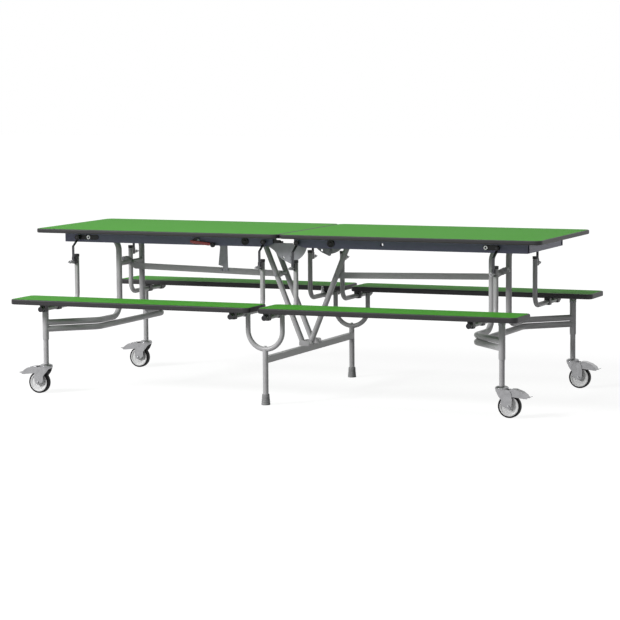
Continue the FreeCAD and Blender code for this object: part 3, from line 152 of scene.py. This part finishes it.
def light_world():
    world = bpy.data.worlds.new("studio")
    world.use_nodes = True
    tree = world.node_tree
    shade = tree.nodes["Background"]
    shade.inputs["Color"].default_value = (1, 1, 1, 1)
    strength = tree.nodes.new("ShaderNodeMapRange")
    strength.inputs["To Min"].default_value = WORLD_GREY
    strength.inputs["To Max"].default_value = WORLD_SHOWN
    tree.links.new(backdrop_ray(tree), strength.inputs["Value"])
    tree.links.new(strength.outputs["Result"], shade.inputs["Strength"])
    bpy.context.scene.world = world


light_world()
print("world:", bpy.context.scene.world.name)

# %% Floor
FLOOR_WHITE = (0.33, 0.33, 0.34, 1)     # what the table sees of the floor
FLOOR_ROUGHNESS = 0.9
FLOOR_SHOWN = (0.22, 0.22, 0.22, 1)     # the part of the floor that the camera sees shaded
GLOW_NEAR, GLOW_FAR = 0.90, 1.0         # and the part that is simply white, here and far away
GLOW_STARTS, GLOW_ENDS = 1.4, 3.4       # metres from the table's middle
FLOOR_HALF_SIZE = 30.0


def glow_with_distance(tree):
    """The floor's own white: a little less round the table, so that its shadow shows there."""
    where = tree.nodes.new("ShaderNodeTexCoord")
    distance = tree.nodes.new("ShaderNodeVectorMath")
    distance.operation = "LENGTH"
    tree.links.new(where.outputs["Object"], distance.inputs[0])
    glow = tree.nodes.new("ShaderNodeMapRange")
    glow.interpolation_type = "SMOOTHSTEP"
    glow.inputs["From Min"].default_value = GLOW_STARTS
    glow.inputs["From Max"].default_value = GLOW_ENDS
    glow.inputs["To Min"].default_value = GLOW_NEAR
    glow.inputs["To Max"].default_value = GLOW_FAR
    tree.links.new(distance.outputs["Value"], glow.inputs["Value"])
    return glow.outputs["Result"]


def floor_finish():
    paint = bpy.data.materials.new("floor_white")
    paint.use_nodes = True
    tree = paint.node_tree
    surface = tree.nodes["Principled BSDF"]
    surface.inputs["Base Color"].default_value = FLOOR_WHITE
    surface.inputs["Roughness"].default_value = FLOOR_ROUGHNESS
    surface.inputs["Specular IOR Level"].default_value = 0.0
    shaded = tree.nodes.new("ShaderNodeBsdfDiffuse")
    shaded.inputs["Color"].default_value = FLOOR_SHOWN
    glow = tree.nodes.new("ShaderNodeEmission")
    tree.links.new(glow_with_distance(tree), glow.inputs["Strength"])
    shown = tree.nodes.new("ShaderNodeAddShader")
    blend = tree.nodes.new("ShaderNodeMixShader")
    tree.links.new(shaded.outputs[0], shown.inputs[0])
    tree.links.new(glow.outputs[0], shown.inputs[1])
    tree.links.new(backdrop_ray(tree), blend.inputs["Fac"])
    tree.links.new(surface.outputs[0], blend.inputs[1])
    tree.links.new(shown.outputs[0], blend.inputs[2])
    tree.links.new(blend.outputs[0], tree.nodes["Material Output"].inputs["Surface"])
    return paint


def lay_floor():
    shape = bmesh.new()
    bmesh.ops.create_grid(shape, x_segments=1, y_segments=1, size=FLOOR_HALF_SIZE)
    mesh = bpy.data.meshes.new("floor")
    shape.to_mesh(mesh)
    shape.free()
    floor = bpy.data.objects.new("floor", mesh)
    bpy.context.scene.collection.objects.link(floor)
    mesh.materials.append(floor_finish())
    return floor


floor = lay_floor()
print("floor:", floor.name)

# %% [markdown]
# ## Finishes
# Every finish starts from the same few nodes: a noise that shifts the colour a little, a finer noise
# that roughens it, and a bump. The patterns read Object coordinates, which are metres here, so a noise
# scale of 1000 is a grain of about a millimetre. One builder with named amounts keeps all finishes alike;
# rolled or brushed metal then has its grain stretched along one axis.

# %% The finish builder
COAT_ROUGHNESS = 0.12
MOTTLE_DETAIL, GRAIN_DETAIL = 3.0, 2.0
MOTTLE_FROM, MOTTLE_TO = 0.3, 0.7       # the noise hardly leaves this range
GRAIN_SCALE = 900.0
SMOOTHEST = 0.02                        # a surface is never rougher than 1 or smoother than this


def new_finish(name, colour, roughness, metallic=0.0, mottle=0.04, mottle_scale=60.0,
               grain=0.05, grain_scale=GRAIN_SCALE, bump=0.05, bump_depth=0.0002, coat=0.0, shine=0.5):
    """A procedural surface: mottled colour, grainy roughness and a fine relief."""
    paint = bpy.data.materials.new(name)
    paint.use_nodes = True
    tree = paint.node_tree
    surface = tree.nodes["Principled BSDF"]
    surface.inputs["Metallic"].default_value = metallic
    surface.inputs["Specular IOR Level"].default_value = shine
    surface.inputs["Coat Weight"].default_value = coat
    surface.inputs["Coat Roughness"].default_value = COAT_ROUGHNESS
    where = tree.nodes.new("ShaderNodeTexCoord")
    where.name = "where"
    cloud = tree.nodes.new("ShaderNodeTexNoise")
    cloud.inputs["Scale"].default_value = mottle_scale
    cloud.inputs["Detail"].default_value = MOTTLE_DETAIL
    tree.links.new(where.outputs["Object"], cloud.inputs["Vector"])
    ramp = tree.nodes.new("ShaderNodeValToRGB")
    ramp.color_ramp.elements[0].position = MOTTLE_FROM
    ramp.color_ramp.elements[1].position = MOTTLE_TO
    for element, shift in zip(ramp.color_ramp.elements, (-mottle, mottle)):
        element.color = tuple(min(1.0, channel * (1 + shift)) for channel in colour) + (1.0,)
    tree.links.new(cloud.outputs["Fac"], ramp.inputs["Fac"])
    tree.links.new(ramp.outputs["Color"], surface.inputs["Base Color"])
    fine = tree.nodes.new("ShaderNodeTexNoise")
    fine.name = "grain"
    fine.inputs["Scale"].default_value = grain_scale
    fine.inputs["Detail"].default_value = GRAIN_DETAIL
    tree.links.new(where.outputs["Object"], fine.inputs["Vector"])
    spread = tree.nodes.new("ShaderNodeMapRange")
    spread.inputs["To Min"].default_value = max(SMOOTHEST, roughness - grain)
    spread.inputs["To Max"].default_value = min(1.0, roughness + grain)
    tree.links.new(fine.outputs["Fac"], spread.inputs["Value"])
    tree.links.new(spread.outputs["Result"], surface.inputs["Roughness"])
    relief = tree.nodes.new("ShaderNodeBump")
    relief.name = "relief"
    relief.inputs["Strength"].default_value = bump
    relief.inputs["Distance"].default_value = bump_depth
    tree.links.new(fine.outputs["Fac"], relief.inputs["Height"])
    tree.links.new(relief.outputs["Normal"], surface.inputs["Normal"])
    return paint


def brush_lines(paint, direction, strength=0.12):
    """Stretch the grain of a metal finish along one axis, like brushed or rolled steel."""
    tree = paint.node_tree
    stretch = tree.nodes.new("ShaderNodeMapping")
    stretch.inputs["Scale"].default_value = direction
    tree.links.new(tree.nodes["where"].outputs["Object"], stretch.inputs["Vector"])
    tree.links.new(stretch.outputs["Vector"], tree.nodes["grain"].inputs["Vector"])
    tree.nodes["relief"].inputs["Strength"].default_value = strength
    return paint


print("usual grain:", round(1 / (GRAIN_SCALE * MM), 1), "mm")

# %% [markdown]
# The table has few finishes: green laminate with a moulded black edge, two greys of powder coat (the
# rails are a little bluer than the tubes), zinc-plated plates and bolts, polished rings, dark steel
# links, bright castors with pale plastic wheels and black tyres, black plastic caps, grey rubber feet
# and one red handle.

# %% Board and paint finishes
POWDER_GRAIN = {"grain_scale": 1100.0, "bump": 0.16, "bump_depth": 0.0003}

LAMINATE = new_finish("green_laminate", (0.081, 0.372, 0.036), 0.60, mottle=0.03, mottle_scale=260.0,
                      grain=0.06, grain_scale=1400.0, bump=0.08, shine=0.06)
EDGE_BAND = new_finish("black_edge_band", (0.018, 0.017, 0.019), 0.48, mottle=0.10, bump=0.10,
                       shine=0.38)
TUBE_GREY = new_finish("grey_powder_coat", (0.530, 0.522, 0.532), 0.38, mottle=0.03, **POWDER_GRAIN)
RAIL_GREY = new_finish("blue_grey_powder_coat", (0.205, 0.190, 0.325), 0.40, mottle=0.03, shine=0.4,
                       **POWDER_GRAIN)
print("board and paint finishes:", len(bpy.data.materials))

# %% Metal finishes
ALONG_Z = (1.0, 1.0, 0.15)      # how much each axis keeps of the grain's scale

ZINC = brush_lines(new_finish("zinc_plate", (0.35, 0.35, 0.38), 0.40, metallic=0.2, mottle=0.10,
                              mottle_scale=35.0, grain=0.08), ALONG_Z)
BRIGHT = new_finish("bright_zinc", (0.36, 0.36, 0.37), 0.25, metallic=0.75, mottle=0.10, grain=0.06)
# Polished rings; the same light finish also serves as painted light on the hangers' eye plates, which lie
# in shade.
POLISHED_AND_PAINTED_LIGHT = new_finish("polished_zinc_and_painted_light", (0.78, 0.78, 0.79), 0.30, metallic=0.5, mottle=0.04)
DARK_STEEL = new_finish("dark_steel", (0.045, 0.045, 0.052), 0.34, metallic=0.3, mottle=0.12,
                        grain=0.08)
print("metals added:", ZINC.name, BRIGHT.name, POLISHED_AND_PAINTED_LIGHT.name, DARK_STEEL.name)

# %% Plastic and rubber finishes
BLACK_PLASTIC = new_finish("black_plastic", (0.012, 0.012, 0.014), 0.42, mottle=0.12, bump=0.12,
                           shine=0.35)
HUB_PLASTIC = new_finish("pale_grey_plastic", (0.84, 0.84, 0.84), 0.34, mottle=0.03)
TYRE_RUBBER = new_finish("black_tyre", (0.006, 0.006, 0.007), 0.62, mottle=0.15, bump=0.25,
                         shine=0.18)
FOOT_RUBBER = new_finish("grey_rubber", (0.33, 0.33, 0.335), 0.62, mottle=0.10, bump=0.25, shine=0.3)
RED_GRIP = new_finish("red_handle", (0.58, 0.020, 0.014), 0.30, mottle=0.04, coat=0.3)
print("finishes:", len(bpy.data.materials))

# %% Which node has which finish
FINISH_OF_SLOT = {
    "laminate": LAMINATE, "edge_band": EDGE_BAND, "rail_paint": RAIL_GREY, "frame_paint": TUBE_GREY,
    "zinc": ZINC, "black_fittings": BLACK_PLASTIC, "foot_rubber": FOOT_RUBBER,
    "castor_steel": BRIGHT, "hub_plastic": HUB_PLASTIC, "tyre": TYRE_RUBBER, "red_grip": RED_GRIP,
}
SLOT_OF_FINISH = {finish: slot for slot, finish in FINISH_OF_SLOT.items()}
SLOT_OF_FINISH[DARK_STEEL] = "black_fittings"
SLOT_OF_FINISH[POLISHED_AND_PAINTED_LIGHT] = "zinc"
SLOT_OF_NODE = {part["node"]: part["material_slot"] for part in frame["record"]["subparts"]}

for node, node_object in NODES.items():
    node_object.data.materials.clear()
    node_object.data.materials.append(FINISH_OF_SLOT[SLOT_OF_NODE[node]])
print("dressed:", len(NODES))

# %% [markdown]
# ## Tools for the finer pieces
# Most nodes are right as they are and only needed a finish. Some hold several finishes at once, such as
# a hanger with its grey tube, black cap and bright bolt. Those are parted into their solids: the
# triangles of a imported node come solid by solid, so a run of them is complete when every edge has met
# its opposite. Each solid is merged, its flat faces are joined, and its sharp edges get a small bevel,
# because a real edge always catches a line of light.

# %% Parting a node into its solids
FLAT_ANGLE = math.radians(0.6)
PLACE_DIGITS = 7        # corners that agree to a ten-thousandth of a millimetre are one


def solids_of(node):
    """The closed solids of a node, each as a merged bmesh."""
    mesh = NODES[node].data
    places = [tuple(round(value, PLACE_DIGITS) for value in vertex.co) for vertex in mesh.vertices]
    solids, run, open_edges = [], [], set()
    for triangle in mesh.polygons:
        corners = [places[index] for index in triangle.vertices]
        if len(set(corners)) < len(corners):
            continue
        run.append(corners)
        for here, there in zip(corners, corners[1:] + corners[:1]):
            if (there, here) in open_edges:
                open_edges.remove((there, here))
            else:
                open_edges.add((here, there))
        if not open_edges:
            solids.append(merged(run))
            run = []
    if run:
        solids.append(merged(run))
    return solids


def merged(triangles):
    """One bmesh from triangles given by their corners, with flat areas joined into single faces."""
    shape = bmesh.new()
    points = {}
    for corners in triangles:
        for place in corners:
            if place not in points:
                points[place] = shape.verts.new(place)
        if not shape.faces.get([points[place] for place in corners]):
            shape.faces.new([points[place] for place in corners])
    bmesh.ops.dissolve_limit(shape, angle_limit=FLAT_ANGLE, verts=shape.verts, edges=shape.edges)
    return shape


def reach(shape):
    """Lowest and highest corner of a bmesh, in millimetres."""
    columns = list(zip(*(vertex.co for vertex in shape.verts)))
    return (Vector([min(column) for column in columns]) / MM,
            Vector([max(column) for column in columns]) / MM)


def spans_of(node):
    """The reach of each solid of a node."""
    spans = []
    for shape in solids_of(node):
        spans.append(reach(shape))
        shape.free()
    return spans


print("solids in a hanger:", len(spans_of("hanger_front_left_outer")))

# %% Showing a finished piece
SMOOTH_ANGLE = math.radians(34)
BEVEL_SEGMENTS = 2


def joined(shapes):
    """Several bmeshes as one."""
    together = bmesh.new()
    for shape in shapes:
        carrier = bpy.data.meshes.new("carrier")
        shape.to_mesh(carrier)
        shape.free()
        together.from_mesh(carrier)
        bpy.data.meshes.remove(carrier)
    return together


def show(shape, name, finish, body, nodes=(), bevel=0.0):
    """Make a bmesh a piece: smooth where it is round, finished, riding on its body."""
    for face in shape.faces:
        face.smooth = True
    for edge in shape.edges:
        edge.smooth = len(edge.link_faces) == 2 and edge.calc_face_angle(0.0) < SMOOTH_ANGLE
    mesh = bpy.data.meshes.new(name)
    shape.to_mesh(mesh)
    shape.free()
    mesh.materials.append(finish)
    piece = bpy.data.objects.new(name, mesh)
    bpy.context.scene.collection.objects.link(piece)
    if bevel:
        rounding = piece.modifiers.new("edges", "BEVEL")
        rounding.width = bevel
        rounding.segments = BEVEL_SEGMENTS
        rounding.limit_method = "ANGLE"
        rounding.angle_limit = SMOOTH_ANGLE
        rounding.harden_normals = True
    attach(piece, body)
    if nodes:
        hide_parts(*nodes)
    return piece


print("edges turn sharp past", round(math.degrees(SMOOTH_ANGLE)), "degrees")

# %% [markdown]
# Round pieces are turned as on a lathe. A profile is a closed line of points, each with its radius and
# its distance along the axis, and a full spin with use_merge makes the solid. Points on the axis all
# fall together, so doubles are merged and the normals are worked out anew.

# %% Lathe work
FULL_TURN = 2 * math.pi
TURNING_STEPS = 64
WELD_DISTANCE = 1e-7


def lathe(profile, centre, axis="Y", steps=TURNING_STEPS):
    """Spin a closed profile of (radius, distance along the axis) points, in millimetres."""
    shape = bmesh.new()
    points = []
    for radius, along in profile:
        offset = Vector((radius, along, 0)) if axis == "Y" else Vector((radius, 0, along))
        points.append(shape.verts.new((centre + offset) * MM))
    edges = [shape.edges.new((points[index - 1], points[index])) for index in range(len(points))]
    turn_axis = (0, 1, 0) if axis == "Y" else (0, 0, 1)
    bmesh.ops.spin(shape, geom=points + edges, cent=centre * MM, axis=turn_axis, angle=FULL_TURN,
                   steps=steps, use_merge=True)
    bmesh.ops.remove_doubles(shape, verts=shape.verts, dist=WELD_DISTANCE)
    bmesh.ops.recalc_face_normals(shape, faces=shape.faces)
    return shape


def closed_profile(half):
    """Both faces of a wheel from one; the first and last points lie on its middle plane."""
    return half + [(radius, -along) for radius, along in reversed(half[1:-1])]


print("lathe steps:", TURNING_STEPS)

# %% [markdown]
# ## Parts with more than one finish
# Each rule below gets the lowest and highest corner of a solid, in millimetres, and names its finish.
# The hangers have grey tubes with black caps and clamps, a dark cranked link and a bright bolt with its
# nuts. The legs and pipes are powder coated, and the bolts through them are zinc plated. Sizes tell
# the solids apart more surely than their order in the node, which may change when it is packed again.

# %% Hangers
EDGE_ROUNDING = 0.0004
LINK_HEIGHT = 90.0          # the cranked link and the tube are taller than this, the rest is lower
HANGER_TUBE_SPAN = 120.0    # and only the tube spans this much across the table
BOLT_LENGTH, BOLT_HEIGHT = 60.0, 20.0
EYE_PLATE_THICKNESS = 6.0


def finish_in_hanger(low, high):
    size = high - low
    # The thin eye plate lies in shade. Its lighter polished finish is partly painted light, so that it
    # reads bright.
    if size.x < EYE_PLATE_THICKNESS:
        return POLISHED_AND_PAINTED_LIGHT
    if size.z > LINK_HEIGHT and size.y > HANGER_TUBE_SPAN:
        return TUBE_GREY
    if size.z > LINK_HEIGHT:
        return DARK_STEEL
    if size.y > BOLT_LENGTH and size.z < BOLT_HEIGHT:
        return BRIGHT
    return BLACK_PLASTIC


def wear_finishes(node, finish_of, bevel=EDGE_ROUNDING):
    """Stand-ins for a node with several finishes, one piece for each finish."""
    sorted_solids = {}
    for shape in solids_of(node):
        finish = finish_of(*reach(shape))
        if finish:
            sorted_solids.setdefault(finish, []).append(shape)
        else:
            shape.free()
    for finish, shapes in sorted_solids.items():
        show(joined(shapes), node + "_" + finish.name, finish, BODY_OF[node], [node], bevel)
    return len(sorted_solids)


HANGERS = sorted(node for node in NODES if node.startswith("hanger_"))
for node in HANGERS:
    wear_finishes(node, finish_in_hanger)
print("hangers:", len(HANGERS))

# %% End frames, rail fittings, brackets
CAP_SPAN = 30.0             # bolts, caps and pins are smaller than this
RAIL_FACE = 248.0           # the rails' outer faces, from the table's middle line
FRAME_BOLT_THICKNESS = 16.0
BOLT_SLENDERNESS = 1.9      # a bolt is at least this many times as long as it is thick
SHAFT_CAP_HEIGHT = 35.0     # of the fittings on the rails, only the shaft caps are taller
RING_WIDTH, RING_THICKNESS = 19.0, 5.0


def finish_in_end_frame(low, high):
    """Bolts are thin and lie across; the long folding shaft is painted with the rails."""
    size = high - low
    if size.y > RAIL_FACE:
        return RAIL_GREY
    thickness = max(size.x, size.z)
    is_bolt = thickness < FRAME_BOLT_THICKNESS and size.y > BOLT_SLENDERNESS * thickness
    return ZINC if is_bolt else TUBE_GREY


def finish_in_rail_fittings(low, high):
    """Rings are bright and the rest black; the round shaft caps are turned anew below."""
    size = high - low
    if size.z > SHAFT_CAP_HEIGHT:
        return None
    is_ring = max(size.x, size.z) < RING_WIDTH and size.y < RING_THICKNESS
    return POLISHED_AND_PAINTED_LIGHT if is_ring else BLACK_PLASTIC


def finish_in_brackets(low, high):
    return TUBE_GREY if (high - low).y < CAP_SPAN else BLACK_PLASTIC


def finish_in_arms(low, high):
    return TUBE_GREY if (high - low).z > CAP_SPAN else ZINC


RULES = {"end_frame_": finish_in_end_frame, "rail_fittings_": finish_in_rail_fittings,
         "bench_brackets_": finish_in_brackets, "arm": finish_in_arms,
         "stretcher_left": finish_in_arms}
for start, rule in RULES.items():
    for node in sorted(NODES):
        if node.startswith(start):
            print(node, wear_finishes(node, rule), "finishes")

# %% [markdown]
# The shaft that carries the sloping arms ends in a black plastic cap on each rail, with a raised middle
# and a groove round it. A packed cap is a plain disc, so a dished one is turned for its place. Each
# hanger's pin gets a small turned steel end on its black head in the same way.

# %% Shaft caps and pin ends
ARM_SHAFT_X, PIVOT_HEIGHT = 208.0, 695.0
PIN_HEAD_LOWEST, PIN_HEAD_WIDEST = 21.0, 23.0      # a pin's head is 22 mm across
PIN_END_STEPS = 32
CAP_PROFILE = [(0.0, 0.0), (18.0, 0.0), (18.0, 2.6), (16.9, 4.6), (14.6, 6.0), (11.6, 5.2),
               (10.4, 3.8), (8.2, 3.8), (7.4, 5.0), (5.6, 6.0), (0.0, 6.0)]
PIN_END_PROFILE = [(0.0, -0.5), (5.2, -0.5), (5.2, 0.6), (4.4, 1.2), (0.0, 1.2)]


def facing(profile, row):
    """A profile that grows away from the table's middle, towards the front or the back."""
    return [(radius, row * along) for radius, along in profile]


for hand, side in HANDS.items():
    node = "rail_fittings_" + hand
    cap_places = [(row, Vector((side * ARM_SHAFT_X, row * RAIL_FACE, PIVOT_HEIGHT)))
                  for row in ROWS.values()]
    caps = [lathe(facing(CAP_PROFILE, row), cap_place) for row, cap_place in cap_places]
    show(joined(caps), "shaft_caps_" + hand, BLACK_PLASTIC, BODY_OF[node], [node])
    ends = []
    for low, high in spans_of(node):
        size = high - low
        if PIN_HEAD_LOWEST < size.z < PIN_HEAD_WIDEST and size.x < PIN_HEAD_WIDEST:
            row = 1 if high.y > 0 else -1
            middle = (low + high) / 2
            outside = Vector((middle.x, high.y if row > 0 else low.y, middle.z))
            ends.append(lathe(facing(PIN_END_PROFILE, row), outside, steps=PIN_END_STEPS))
    print(node, "pin ends:", len(ends))
    show(joined(ends), "pin_ends_" + hand, DARK_STEEL, BODY_OF[node], [node])

# %% [markdown]
# ## Castors
# The wheel is turned on a lathe: a profile of a few points is spun round the axle. The tyre has rounded
# shoulders; the hub is a dished disc with a raised boss and a stiffening ring, the same on both faces.
# The pressed fork and the brake pedal keep their sheet-metal shape with rounded edges. The swivel head
# above the fork is turned too, with the groove of its ball race, and the axle has a nut on each end.

# %% Tyres and hubs
LEG_X, LEG_Y = 1090.4, 500.7
TRAIL, AXLE_HEIGHT = 35.0, 50.0     # the wheel stands this far behind its swivel, outwards at rest
TYRE_HALF = [(43.5, 0.0), (43.5, 15.2), (43.9, 15.8), (45.0, 15.9), (46.6, 15.2), (48.2, 13.7),
             (49.2, 11.9), (49.8, 9.8), (50.0, 6.5), (50.0, 0.0)]
HUB_HALF = [(4.06, 0.0), (4.06, 13.0), (9.6, 13.0), (10.6, 12.4), (12.2, 8.6), (14.0, 8.0),
            (20.5, 8.4), (21.4, 9.4), (23.4, 9.4), (24.3, 8.6), (34.0, 9.0), (36.1, 12.0),
            (37.5, 12.8), (41.5, 13.0), (42.8, 12.4), (43.45, 11.0), (43.45, 0.0)]


def axle_of(row, hand):
    """Middle of a wheel, for its row and hand of -1 or 1."""
    return Vector((hand * (LEG_X + TRAIL), row * LEG_Y, AXLE_HEIGHT))


for place, row, hand in PLACES:
    centre = axle_of(row, hand)
    show(lathe(closed_profile(TYRE_HALF), centre), "tyre_" + place, TYRE_RUBBER,
         "wheel_" + place, ["castor_tyre_" + place])
    show(lathe(closed_profile(HUB_HALF), centre), "hub_" + place, HUB_PLASTIC,
         "wheel_" + place, ["castor_wheel_" + place])
print("wheels:", len(PLACES))

# %% Forks and pedals
SHEET_EDGE = 0.0006
HEAD_PROFILE = [(0.0, 120.9), (28.6, 120.9), (29.7, 121.6), (30.0, 123.0), (29.6, 124.2),
                (28.2, 124.7), (28.2, 125.7), (29.4, 126.2), (29.4, 127.6), (28.0, 129.4),
                (24.0, 132.6), (20.5, 134.0), (6.0, 134.0), (6.0, 162.0), (0.0, 162.0)]
HEAD_CUT = 120.99           # the fork's own shape is kept up to here
FORK_OUTSIDE = 23.0         # where an axle nut sits, from the wheel's middle
NUT_RADIUS, NUT_THICKNESS, NUT_ROUNDING = 7.0, 4.2, 0.0007
NUT_SIDES = 6
RIM_ANGLE = math.radians(80)        # a nut's sides meet at 60 degrees and its rims turn by 90


def hex_nut(centre, side, radius, thickness):
    """A six-sided nut with its axis along Y, its back against the face at centre."""
    shape = bmesh.new()
    middle = centre + Vector((0, side * thickness / 2, 0))
    turn = Matrix.Rotation(math.pi / 2, 4, "X")
    bmesh.ops.create_cone(shape, segments=NUT_SIDES, radius1=radius * MM, radius2=radius * MM,
                          depth=thickness * MM, cap_ends=True,
                          matrix=Matrix.Translation(middle * MM) @ turn)
    rims = [edge for edge in shape.edges if edge.calc_face_angle(0.0) > RIM_ANGLE]
    bmesh.ops.bevel(shape, geom=rims, offset=NUT_ROUNDING, affect="EDGES", segments=BEVEL_SEGMENTS,
                    profile=0.5, material=-1)
    bmesh.ops.recalc_face_normals(shape, faces=shape.faces)
    return shape


def below(shape, height):
    """What is left of a solid under a level cut, closed again on top."""
    cut = bmesh.ops.bisect_plane(shape, geom=shape.verts[:] + shape.edges[:] + shape.faces[:],
                                 plane_co=(0, 0, height * MM), plane_no=(0, 0, 1), clear_outer=True)
    rim = [item for item in cut["geom_cut"] if isinstance(item, bmesh.types.BMEdge)]
    bmesh.ops.contextual_create(shape, geom=rim)
    return shape


for place, row, hand in PLACES:
    fork_node, pedal_node = "castor_fork_" + place, "brake_pedal_" + place
    leg_foot = Vector((hand * LEG_X, row * LEG_Y, 0))
    parts = [below(shape, HEAD_CUT) for shape in solids_of(fork_node)]
    parts.append(lathe(HEAD_PROFILE, leg_foot, axis="Z"))
    for side in (-1, 1):
        nut_place = axle_of(row, hand) + Vector((0, side * FORK_OUTSIDE, 0))
        parts.append(hex_nut(nut_place, side, NUT_RADIUS, NUT_THICKNESS))
    show(joined(parts), "fork_" + place, BRIGHT, "castor_" + place, [fork_node], SHEET_EDGE)
    show(joined(solids_of(pedal_node)), "pedal_" + place, BRIGHT, "pedal_" + place, [pedal_node],
         SHEET_EDGE)
print("forks and pedals:", len(PLACES))

# %% [markdown]
# ## Feet and saddle pads
# The two centre legs stand in grey rubber feet: a tapered ferrule with three ribs and a rounded sole,
# spun like the wheels. The pads on the U tubes are small blocks with well rounded edges.

# %% Feet and pads
FOOT_Y = 499.6
FOOT_PROFILE = [(0.0, 0.0), (18.8, 0.0), (19.8, 1.2), (19.9, 3.0), (19.4, 8.6), (18.3, 9.6),
                (18.2, 11.4), (19.0, 12.6), (18.7, 17.0), (17.7, 18.0), (17.6, 19.8), (18.3, 21.0),
                (18.0, 25.0), (17.0, 26.0), (16.9, 27.8), (17.5, 29.0), (16.3, 46.4), (15.4, 48.0),
                (12.5, 48.0), (12.5, 8.0), (0.0, 8.0)]
FEET_END = 100.0            # the feet lie below this height and the pads above it
PAD_ROUNDING, PAD_SEGMENTS = 0.0018, 3

pads = []
for shape in solids_of("centre_pads"):
    if reach(shape)[0].z < FEET_END:
        shape.free()
        continue
    bmesh.ops.bevel(shape, geom=shape.edges[:], offset=PAD_ROUNDING, affect="EDGES",
                    segments=PAD_SEGMENTS, profile=0.5, material=-1)
    pads.append(shape)
show(joined(pads), "saddle_pads", BLACK_PLASTIC, BODY_OF["centre_pads"], ["centre_pads"])
feet = [lathe(FOOT_PROFILE, Vector((0, row * FOOT_Y, 0)), axis="Z") for row in ROWS.values()]
show(joined(feet), "rubber_feet", FOOT_RUBBER, BODY_OF["centre_pads"], ["centre_pads"])
print("pads:", len(pads), "feet:", len(feet))

# %% [markdown]
# ## Release handle
# The lever has a round black base on its shaft, a red bar and a black knob at the bar's end. The bar
# keeps its outline and gets generous round edges, as a moulded handle has; the knob is turned, with a
# small dimple in its face. The lever's shaft and hook behind it are plated steel.

# %% Handle and hook
KNOB_PLACE = Vector((-362.0, -257.0, 676.0))
KNOB_PROFILE = [(0.0, 0.0), (10.4, 0.0), (11.0, 1.0), (11.0, 9.6), (10.2, 11.4), (8.4, 12.0),
                (4.2, 12.0), (3.2, 11.0), (0.0, 11.0)]
BAR_LENGTH = 60.0           # only the bar is longer
GRIP_ROUNDING, HOOK_ROUNDING = 0.0012, 0.0005


def finish_in_handle(low, high):
    """The bar is red and the base black; the knob is turned anew."""
    if (high - low).x > BAR_LENGTH:
        return RED_GRIP
    return BLACK_PLASTIC if low.x < KNOB_PLACE.x - CAP_SPAN else None


print("handle:", wear_finishes("release_handle", finish_in_handle, GRIP_ROUNDING), "finishes")
show(lathe(facing(KNOB_PROFILE, ROWS["front"]), KNOB_PLACE), "lever_knob", BLACK_PLASTIC,
     BODY_OF["release_handle"], ["release_handle"])
show(joined(solids_of("latch_hook")), "hook_and_shaft", ZINC, BODY_OF["latch_hook"],
     ["latch_hook"], HOOK_ROUNDING)
